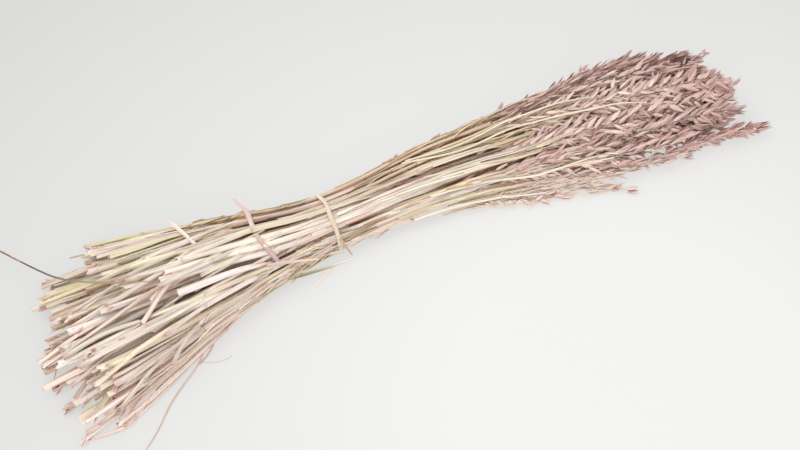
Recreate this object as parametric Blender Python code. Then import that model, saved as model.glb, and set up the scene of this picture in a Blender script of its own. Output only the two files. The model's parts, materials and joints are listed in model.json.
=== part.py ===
"""Bundle of dried oats lying on its side: stalks cut at the butt, tied at the waist, heads spread at the far end.

Lengths below are in millimetres and become metres when the meshes are made. +X runs from the cut butts to the
heads, +Z is up, and the bundle lies on z = 0. The origin is the middle of its footprint.
"""
import math

import bmesh
import bpy
import numpy as np

# ---------------------------------------------------------------- driving dimensions
MM = 0.001
GAP = 0.42            # clear distance kept between neighbouring stalks
SIDES = 6             # facets round a stalk
X_TIE = -62.0         # where the band goes round the stalks
TIE_C = (15.5, 20.0)  # y, z of the waist's middle
TIE_HALF = (22.0, 16.6)
BAND_WIDTH = 5.2
BAND_THICK = 0.9
VIEW_TILT = math.radians(57.0)  # the way "front" faces round the waist: up and towards -Y
HEAD_MID_Y = 4.0      # y of the heads' middle, at mid head
STEM_TAPER = (1.0, 0.84, 0.50)  # share of the butt radius at the butt, at the tie, and at the first whorl
TIP_R = 0.8
HEAD_R = 4.3          # radius of a head's solid at its fullest
FLOOR_GAP = 0.05      # least height of a stalk over the floor
STRIP_ROOM = 1.0      # the same where loose leaves lie under the bundle
SEED = 11

# Stations along X at which every stalk is placed.
XS = np.array([-342, -304, -266, -228, -190, -154, -120, -90, -62, -28, 10, 48, 84, 116,
               146, 174, 202, 230, 258, 286, 312, 338, 366], float)

# The butts that show on top and along the outline of the fan: x, y, z of the cut end, its radius, and how far
# round the front of the tie the stalk passes (0 at the far side, 1 at the near side).
BUTTS = [
    (-264, 85, 22, 2.0, .03), (-260, 73, 27, 2.3, .08), (-263, 74, 17, 2.0, .06), (-264, 63, 24, 2.1, .13),
    (-265, 53, 30, 2.2, .17), (-304, 71, 12, 2.2, .10), (-312, 55, 13, 2.2, .22), (-277, 40, 25, 2.4, .26),
    (-305, 35, 20, 2.2, .30), (-260, 34, 45, 2.5, .38), (-195, 14, 53, 2.6, .44), (-208, 10, 51, 2.6, .50),
    (-238, 20, 47, 2.5, .42), (-242, 14, 43, 2.5, .49), (-217, 4, 50, 2.6, .56), (-295, 18, 30, 2.8, .50),
    (-305, 24, 22, 2.2, .44), (-314, 20, 18, 2.4, .54), (-268, 3, 41, 2.3, .58), (-299, 2, 33, 2.6, .62),
    (-316, 4, 25, 2.2, .60), (-321, 3, 17, 2.1, .63), (-312, -9, 29, 2.2, .66), (-316, -9, 20, 2.2, .70),
    (-317, -25, 35, 2.6, .68), (-294, -31, 41, 2.7, .73), (-287, -44, 38, 2.6, .78), (-328, -11, 10, 2.2, .70),
    (-327, -27, 7, 2.2, .80), (-315, -38, 26, 2.7, .80), (-285, -59, 29, 2.7, .86), (-289, -62, 15, 2.3, .89),
    (-325, -49, 5, 2.4, .82), (-314, -60, 4, 2.3, .86), (-292, -72, 8, 2.4, .93), (-323, -80, 3, 2.3, .97),
    (-289, -82, 3, 1.9, .95), (-295, -36, 16, 2.3, .76),
]
BURIED = 16           # stalks whose butts lie inside the fan
PALE_STEM = 9         # the long stem that rides over the loose leaf strap
# Rows of heads across the pile, from the bottom: z, number, half width.
HEAD_ROWS = [(5, 13, 55), (14.5, 12, 52), (24, 11, 47), (33.5, 9, 39), (42.5, 7, 28), (50, 3, 13)]
# Heads that stand out of the pile: tip x, y, z, where the first whorl is, and y half way along the head.
STRAY_HEADS = [(360, -55, 11, 172, -45), (214, -64, 5, 146, -42), (350, -32, 14, 176, -26), (334, 33, 30, 158, 32), (157, -45, 5, 102, -29)]
# The outline that the stalks' middles keep to: x, lowest y, highest y, highest z.
OUTLINE = [(-154, -22, 63, 52), (-120, -15, 57, 49), (-88, -11, 49, 43), (-62, -6.5, 38.5, 36.6), (-28, -4, 45, 37), (10, -4, 53, 36),
           (48, -9, 59, 36), (84, -18, 63, 38), (116, -26, 65, 41), (146, -34, 66, 44), (174, -39, 67, 46), (202, -41, 67, 48),
           (230, -42, 66, 48), (258, -39, 64, 47), (286, -40, 58, 45), (312, -43, 48, 42), (338, -45, 37, 38), (366, -52, 26, 32)]
# How far the settled stalks are drawn over to the far side: x, then by how much at the near edge and at the far edge.
DRAWN_OVER = [(-90, 0, 0), (-62, 0, 2), (-28, 0, 5), (10, 1, 9), (48, 3, 11.5), (84, 6, 12.5), (116, 7.5, 13), (146, 8.5, 14), (174, 8, 14),
              (202, 4, 14), (230, 0, 13.5), (258, 0, 12), (286, 0, 8), (312, 0, 3), (338, 0, 0)]
STRAP_LINE = [(-14, -119), (-5, -123), (4, -127.5), (11, -129.4), (28, -128), (38, -126.5), (48, -125.6)]  # the strap's y, x seen from above
STRAP_HALF, STRAP_THICK = 2.9, 0.5

N = len(BUTTS) + BURIED
K = len(XS)


def smooth(t):
    t = np.clip(t, 0.0, 1.0)
    return t * t * (3 - 2 * t)


def waist_slots(rng):
    """Places across the tied waist on a staggered grid, nearest the middle first."""
    pitch = 4.75
    found = []
    for row in range(-6, 7):
        z = row * pitch * 0.866
        for col in range(-7, 8):
            y = (col + 0.5 * (row % 2)) * pitch
            found.append(((y / TIE_HALF[0]) ** 2 + (z / TIE_HALF[1]) ** 2, y, z))
    found.sort()
    return np.array([(y, z) for _, y, z in found[:N]])


def matched(cost):
    """Pairs rows with columns at a low total cost, by swapping pairs until no swap helps."""
    n = len(cost)
    pick = np.arange(n)
    for _ in range(60):
        changed = False
        for a in range(n):
            for b in range(a + 1, n):
                now = cost[a, pick[a]] + cost[b, pick[b]]
                then = cost[a, pick[b]] + cost[b, pick[a]]
                if then < now - 1e-9:
                    pick[a], pick[b] = pick[b], pick[a]
                    changed = True
        if not changed:
            break
    return pick


def plan():
    """Where each stalk's butt, waist and head belong, before they are pushed apart."""
    rng = np.random.default_rng(SEED)
    butts = [list(b) for b in BUTTS]
    for i in range(BURIED):
        x = rng.uniform(-318, -236)
        spread = (-X_TIE - 25 - x) / 245.0
        y = 12 + rng.uniform(-66, 52) * spread * 0.9 - 8
        butts.append([x, y, rng.uniform(5, 24), rng.uniform(2.0, 2.5), 0.5 - y / 150.0])
    butts = np.array(butts)
    # waist: front-facing coordinates of slots and wishes
    slots = waist_slots(rng)
    u = slots / np.array(TIE_HALF)
    side = u[:, 0] * math.sin(VIEW_TILT) + u[:, 1] * math.cos(VIEW_TILT)
    front = -u[:, 0] * math.cos(VIEW_TILT) + u[:, 1] * math.sin(VIEW_TILT)
    want_side = 1 - 2 * butts[:, 4]
    layer = np.clip((butts[:, 2] - 18) / 26.0, -0.9, 1.0)
    layer[len(BUTTS):] = np.clip((butts[len(BUTTS):, 2] - 20) / 14.0, -1.0, 0.1)
    want_front = layer * np.sqrt(np.clip(1 - want_side**2, 0.02, 1))
    cost = 3.0 * (side[None] - want_side[:, None]) ** 2 + (front[None] - want_front[:, None]) ** 2
    waist = slots[matched(cost)] + np.array(TIE_C)
    # heads: rows of a low pile, matched with the waist so that stalks seldom cross
    heads = []
    for z, count, half in HEAD_ROWS:
        for c in range(count):
            heads.append((HEAD_MID_Y + half * (2 * (c + 0.5) / count - 1), z))
    heads = np.array(heads[:N])
    a = (waist - np.array(TIE_C)) / np.array(TIE_HALF)
    b = (heads - np.array([HEAD_MID_Y, 25.0])) / np.array([54.0, 25.0])
    cost = ((a[:, None] - b[None]) ** 2).sum(-1) + rng.uniform(0, 0.35, (N, N))
    heads = heads[matched(cost)]
    tip_x = 345 - 78 * rng.uniform(0, 1, N) ** 1.5 - 0.16 * np.maximum(heads[:, 0], 0)
    whorl_x = tip_x - rng.uniform(165, 205, N)
    tip = np.stack([tip_x, heads[:, 0] * 0.86 - 7, heads[:, 1] * 0.9], 1)
    # a few heads with a place of their own, each given to the stalk that is nearest to it
    free = list(range(N))
    for x, y, z, start, middle in STRAY_HEADS:
        i = min(free, key=lambda s: (heads[s, 0] - y) ** 2 + 4 * (heads[s, 1] - z) ** 2)
        free.remove(i)
        heads[i] = (middle, z)
        tip[i] = (x, y, z)
        whorl_x[i] = start
    strays = [i for i in range(N) if i not in free]
    return butts, waist, heads, tip, whorl_x, strays


def radii_of(butts, tip, whorl_x):
    """Radius of each stalk at each station: a tapering stem, then the slim solid of its head."""
    rb = butts[:, 3:4]
    t1 = np.clip((XS[None] - butts[:, 0:1]) / (X_TIE - butts[:, 0:1]), 0, 1)
    t2 = np.clip((XS[None] - X_TIE) / (whorl_x[:, None] - X_TIE), 0, 1)
    stem = rb * (STEM_TAPER[0] + (STEM_TAPER[1] - STEM_TAPER[0]) * t1 + (STEM_TAPER[2] - STEM_TAPER[1]) * t2)
    return stem + head_bulge(XS[None], rb, tip, whorl_x)


def head_bulge(x, rb, tip, whorl_x):
    s = np.clip((x - whorl_x[:, None]) / (tip[:, 0:1] - whorl_x[:, None]), 0, 1)
    full = HEAD_R - rb * STEM_TAPER[2]
    swell = np.sin(math.pi * s**0.8) ** 0.8
    return full * swell + (TIP_R - rb * STEM_TAPER[2]) * smooth((s - 0.6) / 0.4)


def slopes_of(place):
    slope = np.zeros_like(place)
    slope[:, 1:-1] = (place[:, 2:] - place[:, :-2]) / (XS[2:] - XS[:-2])[None, :, None]
    slope[:, 0], slope[:, -1] = slope[:, 1], slope[:, -2]
    return slope


def pushes(place, reach, both):
    """How far each stalk must move at each station to clear its neighbours, and the deepest overlap left."""
    d = place[None, :] - place[:, None]
    d0, d1 = d[:, :, :-1], d[:, :, 1:]
    e = d1 - d0
    t = np.clip(-(d0 * e).sum(-1) / np.maximum((e * e).sum(-1), 1e-9), 0, 1)
    near = d0 + t[..., None] * e
    dist = np.sqrt((near**2).sum(-1))
    need = reach[:, None] + reach[None]
    need = need[:, :, :-1] * (1 - t) + need[:, :, 1:] * t
    lap = np.where(both & (dist < need), need - dist, 0.0)
    n = near / np.maximum(dist, 1e-6)[..., None]
    push = 0.5 * lap / ((1 - t) ** 2 + t**2)
    p0, p1 = push * (1 - t), push * t
    move = np.zeros_like(place)
    move[:, :-1] -= (p0[..., None] * n).sum(1) / np.sqrt(np.maximum((p0 > 0).sum(1), 1))[..., None]
    move[:, 1:] -= (p1[..., None] * n).sum(1) / np.sqrt(np.maximum((p1 > 0).sum(1), 1))[..., None]
    return move, float(lap.max())


def settle():
    """Lets the stalks lie together: stiff, pulled to their places, kept apart, inside the outline and above the floor."""
    butts, waist, heads, tip, whorl_x, strays = plan()
    radius = radii_of(butts, tip, whorl_x)
    lines = np.array(OUTLINE)
    held = np.tile(XS >= lines[0, 0], (N, 1))
    held[strays] &= XS[None] < 130
    low_y, high_y, high_z = (np.interp(XS, lines[:, 0], lines[:, c]) for c in (1, 2, 3))
    mid_y, half_y = 0.5 * (low_y + high_y), 0.5 * (high_y - low_y)
    mid_z = np.interp(XS, [-154, X_TIE, 48, 146, 230], [24, TIE_C[1], 18, 14, 11])
    # the way each stalk would take if it kept its share of the outline's width all along
    rest = np.zeros((N, K, 2))
    for i in range(N):
        xs = [butts[i, 0], X_TIE, 0.5 * (whorl_x[i] + tip[i, 0]), tip[i, 0]]
        wish = np.array([butts[i, 1:3], waist[i], heads[i], tip[i, 1:3]])
        for c, (mid, half) in enumerate(((mid_y, half_y), (mid_z, high_z - mid_z))):
            at_mid, at_half = np.interp(xs, XS, mid), np.interp(xs, XS, half)
            share = np.interp(XS, xs[1:], ((wish[:, c] - at_mid) / at_half)[1:])
            way = mid + half * share
            k0 = int(np.argmin(abs(XS + 154)))
            lead = np.interp(XS, [xs[0], XS[k0]], [wish[0, c], 0.55 * (mid[k0] + half[k0] * share[k0]) + 0.45 * float(np.interp(XS[k0], xs[:2], wish[:2, c]))])
            rest[i, :, c] = np.where(XS < XS[k0], lead, way)
            rest[i, k0, c] = lead[k0]
        for _ in range(3):
            rest[i, 1:-1] += 0.25 * (rest[i, :-2] + rest[i, 2:] - 2 * rest[i, 1:-1])
    place = rest.copy()
    first = np.clip(np.searchsorted(XS, butts[:, 0], side="right") - 1, 0, K - 2)
    last = np.clip(np.searchsorted(XS, tip[:, 0], side="left"), 1, K - 1)
    ks = np.arange(K)
    live = (ks[None] >= first[:, None]) & (ks[None] <= last[:, None])
    seg = live[:, :-1] & live[:, 1:]
    both = seg[:, None] & seg[None] & ~np.eye(N, dtype=bool)[:, :, None]
    dx = np.diff(XS)
    wl, wr = dx[1:] / (dx[:-1] + dx[1:]), dx[:-1] / (dx[:-1] + dx[1:])
    inner = live[:, 1:-1] & live[:, :-2] & live[:, 2:]
    k_tie = int(np.argmin(abs(XS - X_TIE)))
    k_mid = np.array([int(np.argmin(abs(XS - 0.5 * (whorl_x[i] + tip[i, 0])))) for i in range(N)])
    rows = np.arange(N)
    butt_t = ((butts[:, 0] - XS[first]) / dx[first])[:, None]
    tip_t = ((tip[:, 0] - XS[last - 1]) / dx[last - 1])[:, None]

    ground = np.where((XS > -235) & (XS < -30), STRIP_ROOM, FLOOR_GAP)[None]

    def keep_inside(p, share):
        """Moves what lies past the outline back toward the middle, by a share of how far out it is."""
        y, z = p[:, :, 0] - mid_y, p[:, :, 1] - mid_z
        under = np.interp(XS, [-154, X_TIE, 48, 146], [24, TIE_HALF[1], 26, 60])
        half_z = np.where(z > 0, high_z - mid_z, under[None])
        level = (abs(y / half_y) ** 2.3 + abs(z / half_z) ** 2.3) ** (1 / 2.3)
        out = np.where(held & (level > 1), share * (1 - 1 / np.maximum(level, 1)), 0.0)
        p[:, :, 0] -= out * y
        p[:, :, 1] -= out * z

    def bend(p, share):
        off = p - rest
        mid = wl[None, :, None] * off[:, :-2] + wr[None, :, None] * off[:, 2:]
        p[:, 1:-1] += np.where(inner[..., None], share * (mid - off[:, 1:-1]), 0)

    steps = 1300
    for step in range(steps):
        grow = min(1.0, 0.35 + 0.65 * step / (0.5 * steps))
        ease = 1.0 if step < 0.85 * steps else 0.3
        bend(place, 0.42 * ease)
        bend(place, 0.42 * ease)
        here = place[rows, first] * (1 - butt_t) + place[rows, first + 1] * butt_t
        pull = 0.30 * ease * (butts[:, 1:3] - here)
        place[rows, first] += pull
        place[rows, first + 1] += pull * butt_t
        place[:, k_tie] += 0.16 * ease * (waist - place[:, k_tie])
        place[rows, k_mid] += 0.06 * ease * (heads - place[rows, k_mid])
        here = place[rows, last - 1] * (1 - tip_t) + place[rows, last] * tip_t
        pull = 0.15 * ease * (tip[:, 1:3] - here)
        place[rows, last] += pull
        place[rows, last - 1] += pull * (1 - tip_t)
        place[:, :, 1] -= 0.03 * ease * smooth((XS - 40) / 120.0)[None] + 0.012 * ease * smooth((-120 - XS) / 120.0)[None]
        place[PALE_STEM, (XS > -200) & (XS < -100), 1] += 0.5 * ease
        keep_inside(place, 0.35)
        wide = radius * np.sqrt(1 + np.minimum((slopes_of(place) ** 2).sum(-1), 0.5))
        for _ in range(2):
            move, worst = pushes(place, (wide + 0.5 * GAP) * grow, both)
            place += 0.72 * move
            place[:, :, 1] = np.maximum(place[:, :, 1], wide + ground)
        place = np.round(place, 6)
    drawn = np.array(DRAWN_OVER)
    near_by, far_by = (np.interp(XS, drawn[:, 0], drawn[:, c]) for c in (1, 2))
    near_edge = np.where(live, place[:, :, 0], 1e9).min(0)
    far_edge = np.where(live, place[:, :, 0], -1e9).max(0)
    for way in (place, rest):
        share = np.clip((way[:, :, 0] - near_edge) / (far_edge - near_edge), 0, 1)
        way[:, :, 0] += near_by * (1 - share) + far_by * share
    # the pale stem is lifted clear of the strap's line, and then all are only pushed apart
    free = np.ones((N, K, 1))
    for step in range(3000):
        if step % 40 == 0 and step < 400:
            window = (XS > -172) & (XS < -92)
            line = strap_line(butts, tip, place, radius)
            for k in np.nonzero(window)[0]:
                y = place[PALE_STEM, k, 0]
                top = float(np.interp(y, [p[1] for p in line][::-1], [p[2] for p in line][::-1]))
                lift = top + STRAP_THICK + 0.45 + 0.6 + radius[PALE_STEM, k] * 1.05
                place[PALE_STEM, k, 1] = max(place[PALE_STEM, k, 1], lift)
                free[PALE_STEM, k] = 0.0
        wide = radius * np.sqrt(1 + np.minimum((slopes_of(place) ** 2).sum(-1), 0.5))
        move, worst = pushes(place, wide + 0.5 * GAP, both)
        if worst < 0.05 and step > 400:
            break
        place += 0.8 * move * free
        place[:, :, 1] = np.maximum(place[:, :, 1], wide + ground)
        if step % 6 == 0 and step < 1800:
            kept = place.copy()
            bend(place, 0.12)
            if step < 900:
                keep_inside(place, 0.04)
            place = np.where(free > 0, place, kept)
        place = np.round(place, 6)
    print("settled after", step, "pushes, nearest pair is", round(GAP - worst, 3), "mm apart")
    return butts, tip, whorl_x, place


def ring(centre, r, slope, n=SIDES, phase=0.0):
    """Points of a ring in a plane of constant x, so stretched that the stalk is round across its own line."""
    x, y, z = centre
    s = np.array(slope, float)
    stretch = math.sqrt(1 + float(s @ s))
    along = s / max(float(np.linalg.norm(s)), 1e-9)
    across = np.array([-along[1], along[0]])
    points = []
    for j in range(n):
        a = 2 * math.pi * (j + phase) / n
        d = np.array([math.cos(a), math.sin(a)])
        length = r / math.sqrt(float(d @ across) ** 2 + (float(d @ along) / stretch) ** 2)
        points.append((x, y + d[0] * length, z + d[1] * length))
    return points


def loft(name, rings, material, shift, closed_loop=False):
    """One closed solid through the rings, capped at both ends, or joined into a loop."""
    mesh = bpy.data.meshes.new(name)
    bm = bmesh.new()
    rows = [[bm.verts.new([(c - s) * MM for c, s in zip(p, shift)]) for p in points] for points in rings]
    n = len(rows[0])
    pairs = list(zip(rows[:-1], rows[1:])) + ([(rows[-1], rows[0])] if closed_loop else [])
    for a, b in pairs:
        for j in range(n):
            bm.faces.new((a[j], a[(j + 1) % n], b[(j + 1) % n], b[j]))
    if not closed_loop:
        bm.faces.new(list(reversed(rows[0])))
        bm.faces.new(rows[-1])
    bmesh.ops.recalc_face_normals(bm, faces=bm.faces)
    bm.to_mesh(mesh)
    bm.free()
    mesh.shade_smooth()
    mesh.set_sharp_from_angle(angle=math.radians(50))
    mesh.materials.append(material)
    obj = bpy.data.objects.new(name, mesh)
    bpy.context.scene.collection.objects.link(obj)
    return obj


def material(name, colour, roughness=0.8):
    m = bpy.data.materials.new(name)
    m.use_nodes = True
    shader = m.node_tree.nodes["Principled BSDF"]
    shader.inputs["Base Color"].default_value = (*colour, 1)
    shader.inputs["Roughness"].default_value = roughness
    shader.inputs["Metallic"].default_value = 0.0
    return m


def stalk_rings(i, butts, tip, whorl_x, place):
    xs = [butts[i, 0]] + [x for x in XS if butts[i, 0] + 1.5 < x < tip[i, 0] - 1.5] + [tip[i, 0]]
    rings = []
    slopes = slopes_of(place)[i]
    for x in xs:
        y, z = (float(np.interp(x, XS, place[i, :, c])) for c in (0, 1))
        slope = [float(np.interp(x, XS, slopes[:, c])) for c in (0, 1)]
        t1 = min(max((x - butts[i, 0]) / (X_TIE - butts[i, 0]), 0), 1)
        t2 = min(max((x - X_TIE) / (whorl_x[i] - X_TIE), 0), 1)
        r = butts[i, 3] * (STEM_TAPER[0] + (STEM_TAPER[1] - STEM_TAPER[0]) * t1 + (STEM_TAPER[2] - STEM_TAPER[1]) * t2)
        r += float(head_bulge(np.array([[x]]), butts[i:i + 1, 3:4], tip[i:i + 1], whorl_x[i:i + 1])[0, 0])
        rings.append(ring((x, y, z), r, slope))
    return rings


def hull(points):
    """Corners of the convex hull of points in a plane, anticlockwise."""
    pts = sorted(set((round(float(a), 5), round(float(b), 5)) for a, b in points))

    def half(run):
        out = []
        for p in run:
            while len(out) > 1 and (out[-1][0] - out[-2][0]) * (p[1] - out[-2][1]) - (out[-1][1] - out[-2][1]) * (p[0] - out[-2][0]) <= 0:
                out.pop()
            out.append(p)
        return out[:-1]

    return half(pts) + half(pts[::-1])


def girth(sections, gap, count):
    """A loop of points round all the sections' circles, at least gap away from them."""
    cloud = []
    for y, z, r in sections:
        for j in range(36):
            a = 2 * math.pi * j / 36
            cloud.append((y + (r + gap) * math.cos(a), z + (r + gap) * math.sin(a)))
    corners = hull(cloud)
    corners.append(corners[0])
    lengths = [0.0]
    for a, b in zip(corners, corners[1:]):
        lengths.append(lengths[-1] + math.dist(a, b))
    loop = []
    for j in range(count):
        s = lengths[-1] * j / count
        loop.append((float(np.interp(s, lengths, [c[0] for c in corners])), float(np.interp(s, lengths, [c[1] for c in corners]))))
    return loop


def sections_at(x, butts, tip, whorl_x, place, radius, leave_out=()):
    found = []
    slopes = slopes_of(place)
    for i in range(N):
        if i in leave_out or not butts[i, 0] - 1 < x < tip[i, 0] + 1:
            continue
        y, z, r, sy, sz = (float(np.interp(x, XS, v)) for v in (place[i, :, 0], place[i, :, 1], radius[i], slopes[i, :, 0], slopes[i, :, 1]))
        found.append((y, z, r * math.sqrt(1 + sy * sy + sz * sz)))
    return found


def band_rings(butts, tip, whorl_x, place, radius):
    """The tie: a flat loop drawn tight round the waist."""
    sections = []
    for x in (X_TIE - BAND_WIDTH / 2, X_TIE, X_TIE + BAND_WIDTH / 2):
        sections += sections_at(x, butts, tip, whorl_x, place, radius)
    inner = girth(sections, 0.42, 44)
    rings = []
    n = len(inner)
    for j in range(n):
        a, b, c = inner[j - 1], inner[j], inner[(j + 1) % n]
        ty, tz = c[0] - a[0], c[1] - a[1]
        length = math.hypot(ty, tz)
        ny, nz = tz / length, -ty / length
        h = BAND_WIDTH / 2
        o = (b[0] + ny * BAND_THICK, max(b[1] + nz * BAND_THICK, 0.0))
        i = (b[0], max(b[1], 0.35))
        rings.append([(X_TIE - h, *i), (X_TIE + h, *i), (X_TIE + h, *o), (X_TIE - h, *o)])
    return rings


def ribbon(path, widths, thick, face):
    """Rings of a flat strip: path points, half widths, and the strip's face direction at each point."""
    rings = []
    path = [np.array(p, float) for p in path]
    for j, p in enumerate(path):
        t = path[min(j + 1, len(path) - 1)] - path[max(j - 1, 0)]
        t /= np.linalg.norm(t)
        up = np.array(face[j] if isinstance(face, list) else face, float)
        side = np.cross(up, t)
        side /= np.linalg.norm(side)
        up = np.cross(t, side)
        w = side * widths[j]
        h = up * thick / 2
        rings.append([tuple(p - w - h), tuple(p + w - h), tuple(p + w + h), tuple(p - w + h)])
    return rings


def spline(points, count):
    """Evenly spaced points on a smooth curve through the given ones."""
    p = np.array(points, float)
    p = np.vstack([2 * p[0] - p[1], p, 2 * p[-1] - p[-2]])
    fine = []
    for k in range(1, len(p) - 2):
        for t in np.linspace(0, 1, 24, endpoint=False):
            a, b, c, d = p[k - 1], p[k], p[k + 1], p[k + 2]
            fine.append(0.5 * (2 * b + (c - a) * t + (2 * a - 5 * b + 4 * c - d) * t * t + (3 * b - a - 3 * c + d) * t**3))
    fine.append(p[-2])
    fine = np.array(fine)
    run = np.concatenate([[0], np.cumsum(np.linalg.norm(np.diff(fine, axis=0), axis=1))])
    s = np.linspace(0, run[-1], count)
    return [tuple(float(np.interp(v, run, fine[:, c])) for c in range(3)) for v in s]


def strap_line(butts, tip, place, radius):
    """The line of a leaf drawn over the stems along the strap's way, from the far side's crest to low on the near side: x, y, z."""
    line_y, line_x = [p[0] for p in STRAP_LINE], [p[1] for p in STRAP_LINE]
    clear = 0.45 + STRAP_THICK / 2
    cloud = []
    slopes = slopes_of(place)
    for i in range(N):
        if i == PALE_STEM:
            continue
        for off in (-STRAP_HALF - 1.0, -STRAP_HALF / 2, 0.0, STRAP_HALF / 2, STRAP_HALF + 1.0):
            x = -120.0 + off
            for _ in range(4):
                x = float(np.interp(np.interp(x, XS, place[i, :, 0]), line_y, line_x)) + off
            if x < butts[i, 0] + 2:
                continue
            y, z, r, sy, sz = (float(np.interp(x, XS, v)) for v in (place[i, :, 0], place[i, :, 1], radius[i], slopes[i, :, 0], slopes[i, :, 1]))
            r = r * math.sqrt(1 + sy * sy + sz * sz) + clear
            for j in range(40):
                a = 2 * math.pi * j / 40
                cloud.append((y + r * math.cos(a), z + r * math.sin(a)))
    corners = hull(cloud)
    far = max(range(len(corners)), key=lambda j: 0.72 * corners[j][0] + 0.69 * corners[j][1])
    loop = corners[far:] + corners[:far]
    out = []
    for p in loop:
        out.append(p)
        if p[0] < 0 and p[1] < 31:
            break
    return [(float(np.interp(y, line_y, line_x)), y, z) for y, z in out]


def strap_rings(butts, tip, place, radius):
    """The loose leaf that lies across the stems between the butts and the tie, under the pale stem."""
    over = strap_line(butts, tip, place, radius)
    a, b = over[0], over[1]
    rise = min(max((a[2] - b[2]) / (a[1] - b[1]), -0.12), 0.4) + 0.26
    free = [(a[0] - 0.40 * s, a[1] + s, a[2] + 0.4 + rise * s) for s in (15, 10, 5)]
    path = spline(free + over, 30)
    return ribbon(path, [STRAP_HALF * min(1.0, 0.55 + 0.12 * j, 0.5 + 0.1 * (29 - j)) for j in range(30)], STRAP_THICK, outward(path))


def outward(path):
    """Face directions of a strip over the stems: square to the path and away from the bundle's middle."""
    face = []
    for j in range(len(path)):
        a, b = path[max(j - 1, 0)], path[min(j + 1, len(path) - 1)]
        ty, tz = b[1] - a[1], b[2] - a[2]
        face.append((0.0, tz / math.hypot(ty, tz), -ty / math.hypot(ty, tz)))
    return face


def main():
    for obj in list(bpy.data.objects):
        bpy.data.objects.remove(obj, do_unlink=True)
    butts, tip, whorl_x, place = settle()
    radius = radii_of(butts, tip, whorl_x)
    solids = {}
    order = sorted(range(N), key=lambda i: (-place[i, 8, 0], place[i, 8, 1]))
    for number, i in enumerate(order, 1):
        solids[f"oat_stalk_{number:02d}"] = (stalk_rings(i, butts, tip, whorl_x, place), False, "straw" if number % 3 else "straw_rose")
    solids["tie_band"] = (band_rings(butts, tip, whorl_x, place, radius), True, "band")
    solids["loose_leaf_strap"] = (strap_rings(butts, tip, place, radius), False, "leaf")
    floor = 0.28
    solids["loose_leaf_front"] = (
        ribbon(spline([(-191, -27, floor), (-204, -43, floor), (-211, -52, floor), (-224, -61, floor), (-237, -70.5, floor), (-253, -85, floor), (-267, -97.5, floor), (-286, -115, floor)], 15),
               [0.7, 1.0] + [1.1] * 7 + [1.0, 1.0, 0.9, 0.8, 0.6, 0.4], 0.5, (0, 0, 1)), False, "leaf")
    solids["loose_leaf_floor"] = (
        ribbon(spline([(-52, -14.5, floor), (-78, -14.5, floor), (-104, -16, floor), (-129, -17.5, floor)], 8),
               [0.5, 1.2, 1.6, 1.9, 2.0, 2.0, 1.9, 1.6], 0.5, (0, 0, 1)), False, "leaf")
    side = spline([(-236, 8, 55), (-250, 15, 53), (-268, 28, 49), (-293, 51, 40), (-306, 69, 34), (-318.5, 90.5, 28), (-331, 113, 22), (-340, 129, 17)], 18)
    solids["loose_leaf_side"] = (ribbon(side, [0.55, 0.75] + [0.85] * 10 + [0.8, 0.75, 0.7, 0.6, 0.5, 0.35], 0.5, (0.2, 0.1, 1)), False, "leaf")
    points = np.array([p for rings, _, _ in solids.values() for r in rings for p in r])
    low, high = points.min(0), points.max(0)
    shift = ((low[0] + high[0]) / 2, (low[1] + high[1]) / 2, low[2])
    print("shift", [round(float(s), 3) for s in shift], "size", [round(float(s), 1) for s in high - low])
    paints = {
        "straw": material("dry_straw", (0.80, 0.70, 0.53)),
        "straw_rose": material("dyed_straw", (0.76, 0.60, 0.53)),
        "band": material("band", (0.75, 0.62, 0.48), 0.7),
        "leaf": material("dry_leaf", (0.74, 0.58, 0.52)),
    }
    for name, (rings, loop, paint) in solids.items():
        loft(name, rings, paints[paint], shift, loop)


main()
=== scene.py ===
"""The bundle of dried oats: hollow straws with nodes, sheaths and torn ends, leaf blades, a flat tie, and full heads of spikelets.

Every stalk is built round the line of its CAD node. Lengths are in millimetres until a mesh is made.
"""
import json
import math

import bpy
import numpy as np
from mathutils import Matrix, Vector


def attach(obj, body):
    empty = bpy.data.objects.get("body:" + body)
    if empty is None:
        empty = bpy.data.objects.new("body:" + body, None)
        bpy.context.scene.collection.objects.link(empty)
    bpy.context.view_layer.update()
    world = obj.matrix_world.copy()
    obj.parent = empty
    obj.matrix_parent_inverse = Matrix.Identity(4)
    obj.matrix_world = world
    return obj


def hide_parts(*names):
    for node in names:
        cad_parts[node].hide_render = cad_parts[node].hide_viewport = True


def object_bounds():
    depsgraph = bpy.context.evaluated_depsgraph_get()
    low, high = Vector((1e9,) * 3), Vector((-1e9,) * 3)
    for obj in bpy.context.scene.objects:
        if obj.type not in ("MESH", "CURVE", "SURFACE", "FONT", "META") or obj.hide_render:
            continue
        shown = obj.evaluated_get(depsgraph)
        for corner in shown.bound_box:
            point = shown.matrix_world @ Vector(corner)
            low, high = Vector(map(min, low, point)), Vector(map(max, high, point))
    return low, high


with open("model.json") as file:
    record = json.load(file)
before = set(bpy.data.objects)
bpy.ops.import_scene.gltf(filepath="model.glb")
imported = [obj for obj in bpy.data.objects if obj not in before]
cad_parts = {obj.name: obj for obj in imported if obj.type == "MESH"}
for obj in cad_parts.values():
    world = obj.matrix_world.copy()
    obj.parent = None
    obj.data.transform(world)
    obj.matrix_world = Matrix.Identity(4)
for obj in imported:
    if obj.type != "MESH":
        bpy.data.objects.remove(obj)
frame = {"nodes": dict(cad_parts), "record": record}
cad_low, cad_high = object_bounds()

MM = 0.001
SHIFT = np.array([9.838, 6.97, 0.03])  # from the design's own origin to the row's
X_TIE = -62.0 - SHIFT[0]
nodes, record = frame["nodes"], frame["record"]


def row(points):
    return np.atleast_2d(np.array(points, float)) - SHIFT


def lin(r, g, b):
    c = np.array([r, g, b], float) / 255
    return np.where(c <= 0.04045, c / 12.92, ((c + 0.055) / 1.055) ** 2.4)


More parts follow.
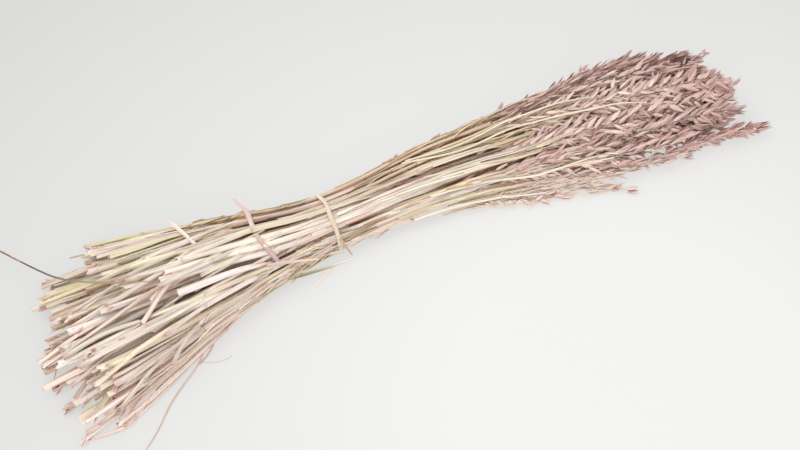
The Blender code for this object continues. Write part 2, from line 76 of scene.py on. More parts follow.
# ---------------------------------------------------------------- colours of the dried plant
IVORY, CREAM, YELLOW = lin(240, 233, 216), lin(236, 228, 208), lin(228, 220, 184)
BLUSH, ROSE, TAN = lin(236, 224, 216), lin(228, 206, 196), lin(205, 180, 146)
OLIVE, BROWN, DARK = lin(176, 168, 124), lin(168, 122, 92), lin(92, 62, 46)
MAUVE, MAUVE_PALE, MAUVE_DEEP = lin(205, 171, 164), lin(222, 194, 184), lin(172, 134, 130)
HUSK = lin(214, 196, 168)


def mix(a, b, t):
    t = np.asarray(t, float)[..., None]
    return np.asarray(a) * (1 - t) + np.asarray(b) * t


def unit(v):
    v = np.asarray(v, float)
    return v / np.maximum(np.linalg.norm(v, axis=-1, keepdims=True), 1e-9)


def smooth(t):
    t = np.clip(t, 0, 1)
    return t * t * (3 - 2 * t)


# ---------------------------------------------------------------- mesh making
class Shell:
    """Gathers closed shells into one mesh, with a colour and a fibre coordinate at every corner."""

    def __init__(self):
        self.co, self.tint, self.grain, self.loops, self.sizes, self.mats, self.n = [], [], [], [], [], [], 0

    def add(self, co, loops, sizes, mat, tint, grain):
        self.co.append(co)
        self.tint.append(np.broadcast_to(tint, (len(co), 3)))
        self.grain.append(np.broadcast_to(grain, (len(co), 3)))
        self.loops.append(loops + self.n)
        self.sizes.append(sizes)
        self.mats.append(np.full(len(sizes), mat))
        self.n += len(co)

    def build(self, name, materials, sharp=52):
        co, tint, grain = np.concatenate(self.co) * MM, np.concatenate(self.tint), np.concatenate(self.grain)
        loops, sizes, mats = np.concatenate(self.loops), np.concatenate(self.sizes), np.concatenate(self.mats)
        mesh = bpy.data.meshes.new(name)
        mesh.vertices.add(len(co))
        mesh.loops.add(len(loops))
        mesh.polygons.add(len(sizes))
        mesh.vertices.foreach_set("co", co.ravel())
        mesh.loops.foreach_set("vertex_index", loops.astype(np.int32))
        mesh.polygons.foreach_set("loop_start", np.concatenate([[0], np.cumsum(sizes)[:-1]]).astype(np.int32))
        mesh.polygons.foreach_set("loop_total", sizes.astype(np.int32))
        for m in materials:
            mesh.materials.append(m)
        mesh.polygons.foreach_set("material_index", mats.astype(np.int32))
        mesh.update(calc_edges=True)
        mesh.validate()
        a = mesh.attributes.new("tint", "FLOAT_COLOR", "POINT")
        a.data.foreach_set("color", np.hstack([tint, np.ones((len(tint), 1))]).astype(np.float32).ravel())
        a = mesh.attributes.new("grain", "FLOAT_VECTOR", "POINT")
        a.data.foreach_set("vector", grain.astype(np.float32).ravel())
        mesh.shade_smooth()
        mesh.set_sharp_from_angle(angle=math.radians(sharp))
        obj = bpy.data.objects.new(name, mesh)
        bpy.context.scene.collection.objects.link(obj)
        return obj


_faces = {}


def loft_faces(n, k, loop=False):
    key = (n, k, loop)
    if key not in _faces:
        idx = np.arange(n * k).reshape(n, k)
        a = idx if loop else idx[:-1]
        b = np.roll(idx, -1, 0) if loop else idx[1:]
        quads = np.stack([a, np.roll(a, -1, 1), np.roll(b, -1, 1), b], -1).reshape(-1)
        sizes = np.full(len(quads) // 4, 4)
        if not loop:
            quads = np.concatenate([quads, idx[0][::-1], idx[-1]])
            sizes = np.concatenate([sizes, [k, k]])
        _faces[key] = (quads, sizes)
    return _faces[key]


def volume(rings, loop=False):
    a, b = (rings, np.roll(rings, -1, 0)) if loop else (rings[:-1], rings[1:])
    p, q, r, s = a, np.roll(a, -1, 1), np.roll(b, -1, 1), b
    c = rings.mean((0, 1))
    p, q, r, s = (v - c for v in (p, q, r, s))
    v = (p * np.cross(q, r)).sum() + (p * np.cross(r, s)).sum()
    if not loop:
        for ring, sign in ((rings[0] - c, -1), (rings[-1] - c, 1)):
            for j in range(1, ring.shape[0] - 1):
                v += sign * float(ring[0] @ np.cross(ring[j], ring[j + 1]))
    return v


def add_loft(shell, rings, mat, tint, grain, loop=False):
    """rings, tint and grain have the shape (rings, corners, 3)."""
    tint = np.broadcast_to(tint, rings.shape)
    grain = np.broadcast_to(grain, rings.shape)
    rings = rings + np.array([0, 0, max(0.0, 0.05 - float(rings[..., 2].min()))])
    if volume(rings, loop) < 0:
        rings, tint, grain = rings[:, ::-1], tint[:, ::-1], grain[:, ::-1]
    n, k, _ = rings.shape
    loops, sizes = loft_faces(n, k, loop)
    shell.add(rings.reshape(-1, 3), loops, sizes, mat, tint.reshape(-1, 3), grain.reshape(-1, 3))


def carried(path, up):
    """Tangent, side and up at each point of a path, turning no more than the path does."""
    t = unit(np.gradient(path, axis=0))
    ups = np.zeros_like(path)
    u = np.asarray(up, float)
    for i in range(len(path)):
        u = u - t[i] * float(u @ t[i])
        u = u / max(float(np.linalg.norm(u)), 1e-9)
        ups[i] = u
    return t, np.cross(t, ups), ups


def lengths(path):
    return np.concatenate([[0], np.cumsum(np.linalg.norm(np.diff(path, axis=0), axis=1))])


def curve(points, step=None, count=None):
    """Points spaced evenly on a smooth curve through the given ones."""
    p = np.array(points, float)
    p = np.vstack([2 * p[0] - p[1], p, 2 * p[-1] - p[-2]])
    ts = np.linspace(0, 1, 12, endpoint=False)[:, None]
    fine = []
    for k in range(1, len(p) - 2):
        a, b, c, d = p[k - 1], p[k], p[k + 1], p[k + 2]
        fine.append(0.5 * (2 * b + (c - a) * ts + (2 * a - 5 * b + 4 * c - d) * ts**2 + (3 * b - a - 3 * c + d) * ts**3))
    fine = np.vstack(fine + [p[-2][None]])
    run = lengths(fine)
    count = count or max(3, int(round(run[-1] / step)) + 1)
    s = np.linspace(0, run[-1], count)
    return np.stack([np.interp(s, run, fine[:, c]) for c in range(fine.shape[1])], 1)


def tube(shell, path, radius, sides, mat, tint, seed, up=(0, 0, 1), squash=None):
    """A closed round tube. radius is one number or one for each point; squash is not used."""
    radius = np.broadcast_to(radius, len(path)).astype(float)
    t, side, ups = carried(path, up)
    a = np.arange(sides) * 2 * math.pi / sides
    ca, sa = np.cos(a), np.sin(a)
    offs = (side[:, None] * ca[None, :, None] + ups[:, None] * sa[None, :, None]) * radius[:, None, None]
    s = lengths(path)
    grain = np.stack([np.broadcast_to((s * 0.03)[:, None], (len(path), sides)), np.broadcast_to(ca * 2.2, (len(path), sides)), np.broadcast_to(sa * 2.2, (len(path), sides))], -1) + seed
    tint = np.asarray(tint)
    if tint.ndim == 2:
        tint = tint[:, None]
    add_loft(shell, path[:, None] + offs, mat, tint, grain)


def strip(shell, path, half, ups, mat, tint, seed, thick=0.22, cup=0.15, cols=4, ruffle=None):
    """A closed thin leaf: half is its half width, cup how far its middle stands below its edges, as a share of the width."""
    half = np.broadcast_to(half, len(path)).astype(float)
    t = unit(np.gradient(path, axis=0))
    ups = unit(np.broadcast_to(ups, path.shape) - t * (np.broadcast_to(ups, path.shape) * t).sum(-1, keepdims=True))
    side = np.cross(t, ups)
    v = np.linspace(-1, 1, cols)
    s = lengths(path)
    h = half[:, None]
    lift = cup * h * (v[None] ** 2 - 0.5)
    if ruffle is not None:
        lift = lift + ruffle
    top = path[:, None] + side[:, None] * (h * v)[..., None] + ups[:, None] * (lift + thick / 2)[..., None]
    low = path[:, None] + side[:, None] * (h * v * 0.97)[..., None] + ups[:, None] * (lift - thick / 2)[..., None]
    rings = np.concatenate([top, low[:, ::-1]], 1)
    vv = np.concatenate([v, v[::-1]])
    grain = np.stack([np.broadcast_to((s * 0.03)[:, None], (len(path), 2 * cols)), h * vv[None] * 0.9, np.broadcast_to(np.repeat([0.0, 2.0], cols)[None], (len(path), 2 * cols))], -1) + seed
    tint = np.asarray(tint)
    if tint.ndim == 2:
        tint = tint[:, None]
    add_loft(shell, rings, mat, tint, grain)


# ---------------------------------------------------------------- the CAD stalks' lines
def node_line(obj):
    """Middle and radius of each ring of a stalk's node: its rings lie in planes of constant x."""
    co = np.empty(len(obj.data.vertices) * 3)
    obj.data.vertices.foreach_get("co", co)
    co = np.unique(np.round(co.reshape(-1, 3) / MM, 3), axis=0)
    co = co[np.argsort(co[:, 0], kind="stable")]
    groups = np.split(co, np.nonzero(np.diff(co[:, 0]) > 0.2)[0] + 1)
    mids = np.array([g.mean(0) for g in groups])
    return mids, np.array([np.linalg.norm(g - g.mean(0), axis=1).mean() for g in groups])


stalk_names = sorted(n for n in nodes if n.startswith("oat_stalk"))
LINES = {n: node_line(nodes[n]) for n in stalk_names}


def sections(x, skip=None):
    """y, z and radius of every stalk where it passes x."""
    out = []
    for name, (mids, r) in LINES.items():
        if name != skip and mids[0, 0] < x < mids[-1, 0]:
            out.append((np.interp(x, mids[:, 0], mids[:, 1]), np.interp(x, mids[:, 0], mids[:, 2]), np.interp(x, mids[:, 0], r)))
    return np.array(out)


GRID_X = np.arange(-345.0, 366.0, 6.0) - SHIFT[0]
SECTIONS = [sections(x) for x in GRID_X]
CENTRE = np.array([s[:, :2].mean(0) if len(s) > 4 else (np.nan, np.nan) for s in SECTIONS])
good = ~np.isnan(CENTRE[:, 0])
for c in (0, 1):
    CENTRE[:, c] = np.interp(GRID_X, GRID_X[good], CENTRE[good, c])


def centre(x):
    return np.array([np.interp(x, GRID_X, CENTRE[:, 0]), np.interp(x, GRID_X, CENTRE[:, 1])])


def top_z(x, y, clear=0.0, skip=None):
    """Height of the stalks' top at x, y, or 0 where none lies."""
    s = sections(x, skip) if skip else SECTIONS[int(np.clip(round((x - GRID_X[0]) / 6.0), 0, len(GRID_X) - 1))]
    if len(s) == 0:
        return 0.0
    r = s[:, 2] + clear
    d = np.abs(s[:, 0] - y)
    hit = d < r
    return float((s[hit, 1] + np.sqrt(r[hit] ** 2 - d[hit] ** 2)).max()) if hit.any() else 0.0


def drape(points, clear=0.4, slack=0.0, step=3.0, floor=0.3, skip=None):
    """A line laid over the stalks along a way seen from above: taut between what holds it up."""
    flat = curve(np.array(points)[:, :2], step=step)
    ground = np.array([max(top_z(x, y, clear, skip), floor) for x, y in flat])
    z = ground.copy()
    for _ in range(200):
        z[1:-1] = np.maximum(ground[1:-1], 0.5 * (z[:-2] + z[2:]) - slack)
    return np.column_stack([flat, z])


print("lines read", len(LINES))


# ---------------------------------------------------------------- materials
def link_material(name):
    m = bpy.data.materials.new(name)
    m.use_nodes = True
    tree = m.node_tree
    return m, tree.nodes, tree.links, tree.nodes["Principled BSDF"]


def node(n, kind, **sockets):
    made = n.new("ShaderNode" + kind)
    for k, v in sockets.items():
        made.inputs[k].default_value = v
    return made


def attribute(n, name):
    a = n.new("ShaderNodeAttribute")
    a.attribute_name = name
    return a


def ranged(n, l, value, low, high, to_low, to_high):
    r = n.new("ShaderNodeMapRange")
    for k, v in (("From Min", low), ("From Max", high), ("To Min", to_low), ("To Max", to_high)):
        r.inputs[k].default_value = v
    l.new(value, r.inputs["Value"])
    return r.outputs["Result"]


def scaled(n, l, colour, value):
    """colour times a number that changes over the surface."""
    v = n.new("ShaderNodeVectorMath")
    v.operation = "SCALE"
    l.new(colour, v.inputs[0])
    l.new(value, v.inputs["Scale"])
    return v.outputs["Vector"]


def blended(n, l, a, b, factor):
    m = n.new("ShaderNodeMix")
    m.data_type = "RGBA"
    l.new(a, m.inputs[6])
    if isinstance(b, (tuple, list, np.ndarray)):
        m.inputs[7].default_value = (*[float(c) for c in b], 1)
    else:
        l.new(b, m.inputs[7])
    l.new(factor, m.inputs["Factor"])
    return m.outputs[2]


def noise(n, l, vector, scale, detail=3.0, rough=0.6):
    t = node(n, "TexNoise", Scale=scale, Detail=detail, Roughness=rough)
    l.new(vector, t.inputs["Vector"])
    return t.outputs["Fac"]


def fibre_material(name, streak, blotch_colour, blotch, rough, bump, subsurface=0.0):
    """Dry plant fibre: long streaks, stained patches and fine ridges, all along the grain."""
    m, n, l, shader = link_material(name)
    tint, grain = attribute(n, "tint"), attribute(n, "grain")
    fine = noise(n, l, grain.outputs["Vector"], 1.7, 4.0, 0.7)
    broad = noise(n, l, grain.outputs["Vector"], 0.55, 2.0, 0.5)
    stain = noise(n, l, grain.outputs["Vector"], 0.9, 3.0, 0.65)
    colour = scaled(n, l, tint.outputs["Color"], ranged(n, l, fine, 0.32, 0.68, streak[0], streak[1]))
    colour = scaled(n, l, colour, ranged(n, l, broad, 0.34, 0.66, 1 - 1.1 * (1 - streak[0]), 1 + 0.9 * (streak[1] - 1)))
    colour = blended(n, l, colour, blotch_colour, ranged(n, l, stain, 0.56, 0.80, 0.0, blotch))
    l.new(colour, shader.inputs["Base Color"])
    l.new(ranged(n, l, broad, 0.3, 0.7, rough[0], rough[1]), shader.inputs["Roughness"])
    b = node(n, "Bump", Strength=bump, Distance=0.00025)
    l.new(fine, b.inputs["Height"])
    l.new(b.outputs["Normal"], shader.inputs["Normal"])
    if subsurface:
        shader.inputs["Subsurface Weight"].default_value = subsurface
        shader.inputs["Subsurface Radius"].default_value = (1.0, 0.6, 0.4)
        shader.inputs["Subsurface Scale"].default_value = 0.0012
    return m


def husk_material(name):
    """Papery glumes: parallel veins, a pale base and a paler keel."""
    m, n, l, shader = link_material(name)
    tint, grain = attribute(n, "tint"), attribute(n, "grain")
    split = n.new("ShaderNodeSeparateXYZ")
    l.new(grain.outputs["Vector"], split.inputs["Vector"])
    w = n.new("ShaderNodeMath")
    w.operation = "MULTIPLY"
    w.inputs[1].default_value = 11.0
    l.new(split.outputs["Y"], w.inputs[0])
    s = n.new("ShaderNodeMath")
    s.operation = "SINE"
    l.new(w.outputs[0], s.inputs[0])
    veins = s.outputs[0]
    patch = noise(n, l, grain.outputs["Vector"], 2.3, 3.0, 0.6)
    colour = scaled(n, l, tint.outputs["Color"], ranged(n, l, veins, -1.0, 1.0, 0.90, 1.07))
    colour = scaled(n, l, colour, ranged(n, l, patch, 0.3, 0.7, 0.84, 1.12))
    l.new(colour, shader.inputs["Base Color"])
    l.new(ranged(n, l, patch, 0.3, 0.7, 0.55, 0.75), shader.inputs["Roughness"])
    b = node(n, "Bump", Strength=0.35, Distance=0.00018)
    l.new(veins, b.inputs["Height"])
    l.new(b.outputs["Normal"], shader.inputs["Normal"])
    return m


STRAW = fibre_material("dry_straw_fibre", (0.80, 1.07), lin(200, 150, 118), 0.36, (0.52, 0.72), 0.35)
SHEATH = fibre_material("papery_sheath", (0.86, 1.08), lin(208, 160, 138), 0.35, (0.5, 0.7), 0.4)
LEAF = fibre_material("dry_leaf_blade", (0.80, 1.10), lin(176, 128, 100), 0.45, (0.5, 0.7), 0.45)
BAND = fibre_material("flat_band", (0.84, 1.10), lin(170, 138, 104), 0.4, (0.55, 0.75), 0.6)
GLUME = husk_material("papery_glume")
PLANT = [STRAW, SHEATH, LEAF, GLUME]
M_STRAW, M_SHEATH, M_LEAF, M_GLUME = range(4)

# Colours of the straws that show most, by where their cut ends lie.
NOTED = [
    ((-312, 55, 13), lin(232, 218, 162), 1.05), ((-317, -25, 35), lin(250, 244, 234), 1.05), ((-299, 2, 33), lin(248, 242, 230), 1.05),
    ((-294, -31, 41), lin(246, 238, 222), 1.03), ((-260, 34, 45), lin(248, 240, 208), 1.05), ((-195, 14, 53), lin(247, 238, 222), 1.04),
    ((-208, 10, 51), lin(245, 237, 214), 1.03), ((-238, 20, 47), lin(240, 222, 210), 1.0), ((-242, 14, 43), lin(243, 232, 208), 1.0),
    ((-217, 4, 50), lin(244, 232, 222), 1.03), ((-268, 3, 41), lin(240, 222, 212), 1.0), ((-295, 18, 30), lin(236, 218, 190), 0.97),
    ((-287, -44, 38), lin(240, 226, 190), 1.0), ((-264, 85, 22), lin(238, 226, 186), 1.0), ((-260, 73, 27), lin(236, 212, 202), 1.03),
    ((-264, 63, 24), lin(236, 220, 180), 1.0), ((-265, 53, 30), lin(236, 214, 190), 1.0), ((-304, 71, 12), lin(240, 226, 208), 1.07),
    ((-277, 40, 25), lin(226, 208, 168), 1.0), ((-305, 35, 20), lin(224, 208, 172), 1.0), ((-327, -27, 7), lin(206, 176, 156), 0.92),
    ((-325, -49, 5), lin(218, 186, 168), 0.96), ((-314, -60, 4), lin(234, 216, 158), 1.0), ((-292, -72, 8), lin(226, 198, 186), 0.98),
    ((-323, -80, 3), lin(228, 196, 182), 0.98), ((-289, -82, 3), lin(228, 200, 186), 1.0), ((-285, -59, 29), lin(238, 222, 206), 1.0),
    ((-315, -38, 26), lin(232, 208, 190), 0.97), ((-289, -62, 15), lin(222, 190, 172), 0.95), ((-316, -9, 20), lin(226, 200, 180), 0.95),
    ((-321, 3, 17), lin(222, 196, 182), 0.93), ((-314, 20, 18), lin(214, 190, 160), 0.92),
]
noted_at = row([p for p, _, _ in NOTED])


def painted_gap_shade(p):
    """Painted shade for what lies inside the bundle at each point: warm brown toward the near side, paler at the fan's
    near edge, and olive brown toward the far side.
    """
    near = smooth((25 - p[:, 1]) / 40.0)[:, None]
    fan = smooth((-40 - p[:, 0]) / 50.0)[:, None]
    low = smooth((-22 - p[:, 1]) / 30.0)[:, None]
    warm_shade = (lin(228, 160, 118) * (1 - low) + lin(250, 220, 194) * low) * fan + lin(176, 128, 94) * (1 - fan)
    olive_shade = lin(172, 140, 98) * fan + lin(172, 136, 100) * (1 - fan)
    return olive_shade * (1 - near) + warm_shade * near


def near_side_light(y):
    """How much paler the straw is painted toward the near side of the fan, a painted light where that side is lit, and
    a little darker toward the far side, a painted shade.
    """
    return 1.0 + 0.11 * float(smooth((-18 - y) / 30.0)) - 0.03 * float(smooth((y - 30) / 30.0))


def straw_tint(butt, rng):
    d = np.linalg.norm(noted_at - butt, axis=1)
    k = int(d.argmin())
    if d[k] < 9:
        return NOTED[k][1] * NOTED[k][2] * np.array([0.868, 0.868, 0.868])
    pink = np.clip(0.45 - butt[1] / 110 + rng.normal(0, 0.22), 0, 1)
    warm = mix(mix(CREAM, YELLOW, rng.uniform(0, 0.6)), mix(BLUSH, ROSE, rng.uniform(0, 0.7)), pink)
    return warm * rng.uniform(0.86, 0.98)


def outward_at(path):
    """The way out of the bundle at each point, square to +X."""
    c = np.stack([np.interp(path[:, 0], GRID_X, CENTRE[:, 0]), np.interp(path[:, 0], GRID_X, CENTRE[:, 1])], 1)
    return unit(np.column_stack([np.zeros(len(path)), path[:, 1:] - c]))


# ---------------------------------------------------------------- ways over and between the stalks
def extents(s):
    return [(s[:, 0] - s[:, 2]).min(), (s[:, 0] + s[:, 2]).max(), (s[:, 1] - s[:, 2]).min(), (s[:, 1] + s[:, 2]).max()]


EXT = np.array([extents(s) if len(s) > 4 else [np.nan] * 4 for s in SECTIONS])
for c in range(4):
    EXT[:, c] = np.interp(GRID_X, GRID_X[good], EXT[good, c])


def around(x, phi, clear=0.5):
    """The point just clear of the outermost stalk at x, phi round from straight up; its way out too."""
    lo_y, hi_y, lo_z, hi_z = (np.interp(x, GRID_X, EXT[:, c]) for c in range(4))
    mid = np.array([0.5 * (lo_y + hi_y), lo_z + 0.36 * (hi_z - lo_z)])
    d = np.array([math.sin(phi) * 0.5 * (hi_y - lo_y), math.cos(phi) * 0.6 * (hi_z - lo_z)])
    d = d / np.linalg.norm(d)
    s = SECTIONS[int(np.clip(round((x - GRID_X[0]) / 6.0), 0, len(GRID_X) - 1))]
    if len(s) == 0:
        return mid, d, np.nan
    rel = s[:, :2] - mid
    proj, across = rel @ d, np.abs(rel[:, 0] * d[1] - rel[:, 1] * d[0])
    r = s[:, 2] + clear
    hit = across < r
    t = float((proj[hit] + np.sqrt(r[hit] ** 2 - across[hit] ** 2)).max()) if hit.any() else np.nan
    return mid, d, max(t, 0) if t == t else t


def over(x0, x1, phi0, phi1, clear=0.5, step=7.0, taut=2):
    """A way along the outside of the bundle from x0 to x1, and the way out at each of its points."""
    n = max(4, int(abs(x1 - x0) / step) + 1)
    xs = np.linspace(x0, x1, n)
    phis = phi0 + (phi1 - phi0) * smooth(np.linspace(0, 1, n))
    mids, ds, ts = zip(*[around(x, f, clear) for x, f in zip(xs, phis)])
    mids, ds, ts = np.array(mids), np.array(ds), np.array(ts)
    ok = ~np.isnan(ts)
    if not ok.any():
        return None, None
    ts = np.interp(np.arange(n), np.nonzero(ok)[0], ts[ok])
    for _ in range(taut):
        padded = np.pad(ts, 1, mode="edge")
        ts = np.maximum(ts, 0.5 * (padded[:-2] + padded[2:]))
    padded = np.pad(ts, 1, mode="edge")
    ts = 0.25 * padded[:-2] + 0.5 * ts + 0.25 * padded[2:]
    yz = mids + ds * ts[:, None]
    return np.column_stack([xs, yz]), np.column_stack([np.zeros(n), ds])


def unjumped(path, limit=0.5):
    """The longest run of a way that nowhere jumps sideways from one stalk to another."""
    steep = np.linalg.norm(np.diff(path[:, 1:], axis=0), axis=1) > limit * np.abs(np.diff(path[:, 0]))
    cuts = np.concatenate([[-1], np.nonzero(steep)[0], [len(steep)]])
    k = int(np.argmax(np.diff(cuts)))
    return slice(int(cuts[k]) + 1, int(cuts[k + 1]) + 1)


def at_x(name, xs):
    mids, _ = LINES[name]
    return np.stack([np.interp(xs, mids[:, 0], mids[:, c]) for c in (1, 2)], 1)


CEILING = float(cad_high[2]) / MM + 3.0


def phi_of(x, y, z):
    lo_y, hi_y, lo_z, hi_z = (np.interp(x, GRID_X, EXT[:, c]) for c in range(4))
    return math.atan2((y - 0.5 * (lo_y + hi_y)) / (0.5 * (hi_y - lo_y)), (z - lo_z - 0.36 * (hi_z - lo_z)) / (0.6 * (hi_z - lo_z)))


def surfaced(points, clear):
    """Ways given by their x and angle round the bundle, laid on the stalks."""
    out = []
    for (x0, y0, z0), (x1, y1, z1) in zip(points[:-1], points[1:]):
        way, outs = over(x0, x1, phi_of(x0, y0, z0), phi_of(x1, y1, z1), clear, taut=4)
        out.append(way if not out else way[1:])
    return np.vstack(out)


def riders():
    """Pale straws that ride over the first spikelets before they dive in: way, radius and tint of each."""
    out = []
    for points, radius, tint, stand in (
        ([(29, -1, 28), (58, -4, 26), (82, -5, 22), (115, -11, 24), (152, -19, 28), (189, -27, 29), (213, -32, 28)], 1.0, lin(248, 240, 216), 7.0),
        ([(20, 36, 34), (54, 29, 35), (73, 26, 36), (122, 22, 36), (157, 15, 43), (203, 4, 47), (240, -4, 48), (256, -9, 48)], 0.95, lin(244, 232, 204), 6.5),
        ([(24, 38, 34), (56, 33, 36), (76, 32, 36), (112, 30, 42), (153, 24, 49), (192, 20, 53), (210, 16, 53)], 0.95, lin(242, 228, 198), 5.0),
        ([(0, 9, 34), (33, 8, 33), (63, 6, 31), (98, 6, 26)], 1.1, lin(246, 238, 212), 2.0),
        ([(-4, -3, 19), (28, -4, 18), (56, -8, 17), (92, -10, 16), (124, -18, 15)], 1.0, lin(240, 228, 190), 3.0),
        ([(10, -8, 14), (54, -11, 13), (77, -15, 12), (114, -22, 10), (140, -30, 9)], 1.05, lin(250, 244, 226), 1.5),
        ([(60, 35, 37), (87, 33, 37), (116, 32, 43), (150, 24, 47)], 0.8, lin(236, 220, 182), 4.0),
        ([(30, 14, 36), (70, 8, 36), (110, 0, 36), (150, -8, 38)], 0.85, lin(240, 226, 192), 4.5),
    ):
        way = surfaced(row(points), 0.6)
        path = curve(way, step=9.0)[:-1]
        for _ in range(5):
            path[1:-1] += 0.5 * (0.5 * (path[:-2] + path[2:]) - path[1:-1])
        f = np.linspace(0, 1, len(path))
        lifted = smooth((path[:, 0] - 70) / 50.0) * (1 - 0.75 * smooth((f - 0.8) / 0.2))
        path = path + outward_at(path) * (stand * lifted)[:, None]
        path[:, 2] = np.minimum(path[:, 2], CEILING + 3.0)
        out.append((path, radius * (1 - 0.35 * f) + 0.1, tint))
    return out


RIDERS = riders()
RIDDEN = np.vstack([curve(path, step=4.0) for path, _, _ in RIDERS])


def hides_rider(p):
    """Whether something at p lies over a riding straw, seen from above."""
    rel = RIDDEN - p
    flat = np.hypot(rel[:, 0], rel[:, 1] - 0.5 * rel[:, 2])
    return bool(((flat < 3.4) & (rel[:, 2] < 2.5)).any())


# ---------------------------------------------------------------- stems
def stem_rings(path, ra, rb, phase, sides, up=(0, 0, 1)):
    t, side, ups = carried(path, up)
    a = np.arange(sides) * 2 * math.pi / sides
    c, s = np.cos(a)[None], np.sin(a)[None]
    x, y = c * np.asarray(ra)[:, None], s * np.asarray(rb)[:, None]
    cp, sp = math.cos(phase), math.sin(phase)
    u, v = x * cp - y * sp, x * sp + y * cp
    return path[:, None] + side[:, None] * u[..., None] + ups[:, None] * v[..., None], t, side, ups


def lift_off_floor(rings, least=0.15):
    """Raises each ring that dips below the floor."""
    low = rings[..., 2].min(1)
    rings = rings.copy()
    rings[..., 2] += np.maximum(least - low, 0)[:, None]
    return rings


def flank_shade(rings, mid, colour, k=0.85):
    """Painted shade round a straw: darker and warmer on the side that lies inward and below, where its neighbours shade
    it; less of it on the fan's near side and at the far side of its butt end.
    """
    around_ = unit(rings - mid[:, None])
    facing = (around_ * unit(outward_at(mid) + np.array([0, 0, 0.6]))[:, None]).sum(-1)
    paler = 1 - np.maximum((0.5 + 0.35 * smooth((-235 - mid[:, 0]) / 40.0)) * smooth((-22 - mid[:, 1]) / 30.0) * smooth((-120 - mid[:, 0]) / 60.0), 0.7 * smooth(mid[:, 1] / 25.0) * smooth((-190 - mid[:, 0]) / 50.0))
    w = (k * paler[:, None] * smooth((0.45 - facing) / 1.1))[..., None]
    return colour * (1 - w + w * np.array([1.0, 0.76, 0.53]))


def culm(shell, path, s, radius, colour, rng, seed, joints):
    """A hollow straw: pressed flat a little and cut askew at the butt, with a swollen ring at each joint."""
    sides = 10
    crush = rng.uniform(0.5, 0.9)
    fade = 0.45 + 0.55 * (1 - smooth(s / 45.0))
    ra = radius * (1 + (1 / crush - 1) * 0.30 * fade)
    rb = radius * (1 - (1 - crush) * fade)
    phase = rng.uniform(0, math.pi)
    colour = colour * (1 + rng.normal(0, 0.02, len(s)))[:, None]
    for j in joints:
        near = np.exp(-(((s - j) / 1.6) ** 2))
        ra, rb = ra * (1 + 0.16 * near), rb * (1 + 0.2 * near)
        ring = np.exp(-(((s - j - 0.6) / 2.0) ** 2))[:, None]
        colour = colour * (1 - 0.30 * ring) + lin(160, 112, 84) * 0.30 * ring
        colour = colour * (1 - 0.08 * np.exp(-np.clip(s - j, 0, None) / 14.0) * (s > j))[:, None]
    rings, t, side, ups = stem_rings(path, ra, rb, phase, sides)
    a = rng.uniform(0, 2 * math.pi)
    tilt = math.tan(math.radians(rng.uniform(4, 38)))
    d = side[0] * math.cos(a) + ups[0] * math.sin(a)
    cut = rings[0] + t[0] * ((rings[0] - path[0]) @ d * tilt)[:, None] + t[0] * rng.normal(0, 0.3, sides)[:, None]
    wall = 0.42 + 0.15 * rng.random()
    inner = path[0] + (cut - path[0]) * (1 - wall / radius[0])
    deep = inner + t[0] * 13.0
    deep = (deep - deep.mean(0)) * 0.85 + deep.mean(0)
    stem = rings[1:]
    rings = lift_off_floor(np.concatenate([deep[None], (inner + t[0] * 2.5)[None], inner[None], cut[None], rings[1:]]))
    base = colour[0]
    # the hollow's inner walls are painted in shade, darkest at the deepest ring; the rim is the straw's own pink
    inside, rim = base * 0.42 * np.array([1.0, 0.66, 0.52]), mix(base, lin(206, 160, 154), 0.75)
    blush = (0.5 * np.exp(-s[1:] / 5.0))[:, None]
    # the flank that faces inward and down gets painted shade
    colour = flank_shade(stem, path[1:], (colour[1:] * (1 - blush) + lin(222, 184, 178)[None] * blush)[:, None])
    colour = np.concatenate([np.broadcast_to(np.array([inside * 0.5, inside, rim * 0.9, rim])[:, None], (4, sides, 3)), colour])
    along = np.concatenate([[0.4, 0.1, 0.0, 0.0], s[1:] * 0.03])
    ang = np.arange(sides) * 2 * math.pi / sides
    shape = (len(rings), sides)
    grain = np.stack([np.broadcast_to(along[:, None], shape), np.broadcast_to(2.2 * np.cos(ang), shape), np.broadcast_to(2.2 * np.sin(ang), shape)], -1) + seed
    add_loft(shell, rings, M_STRAW, colour, grain)


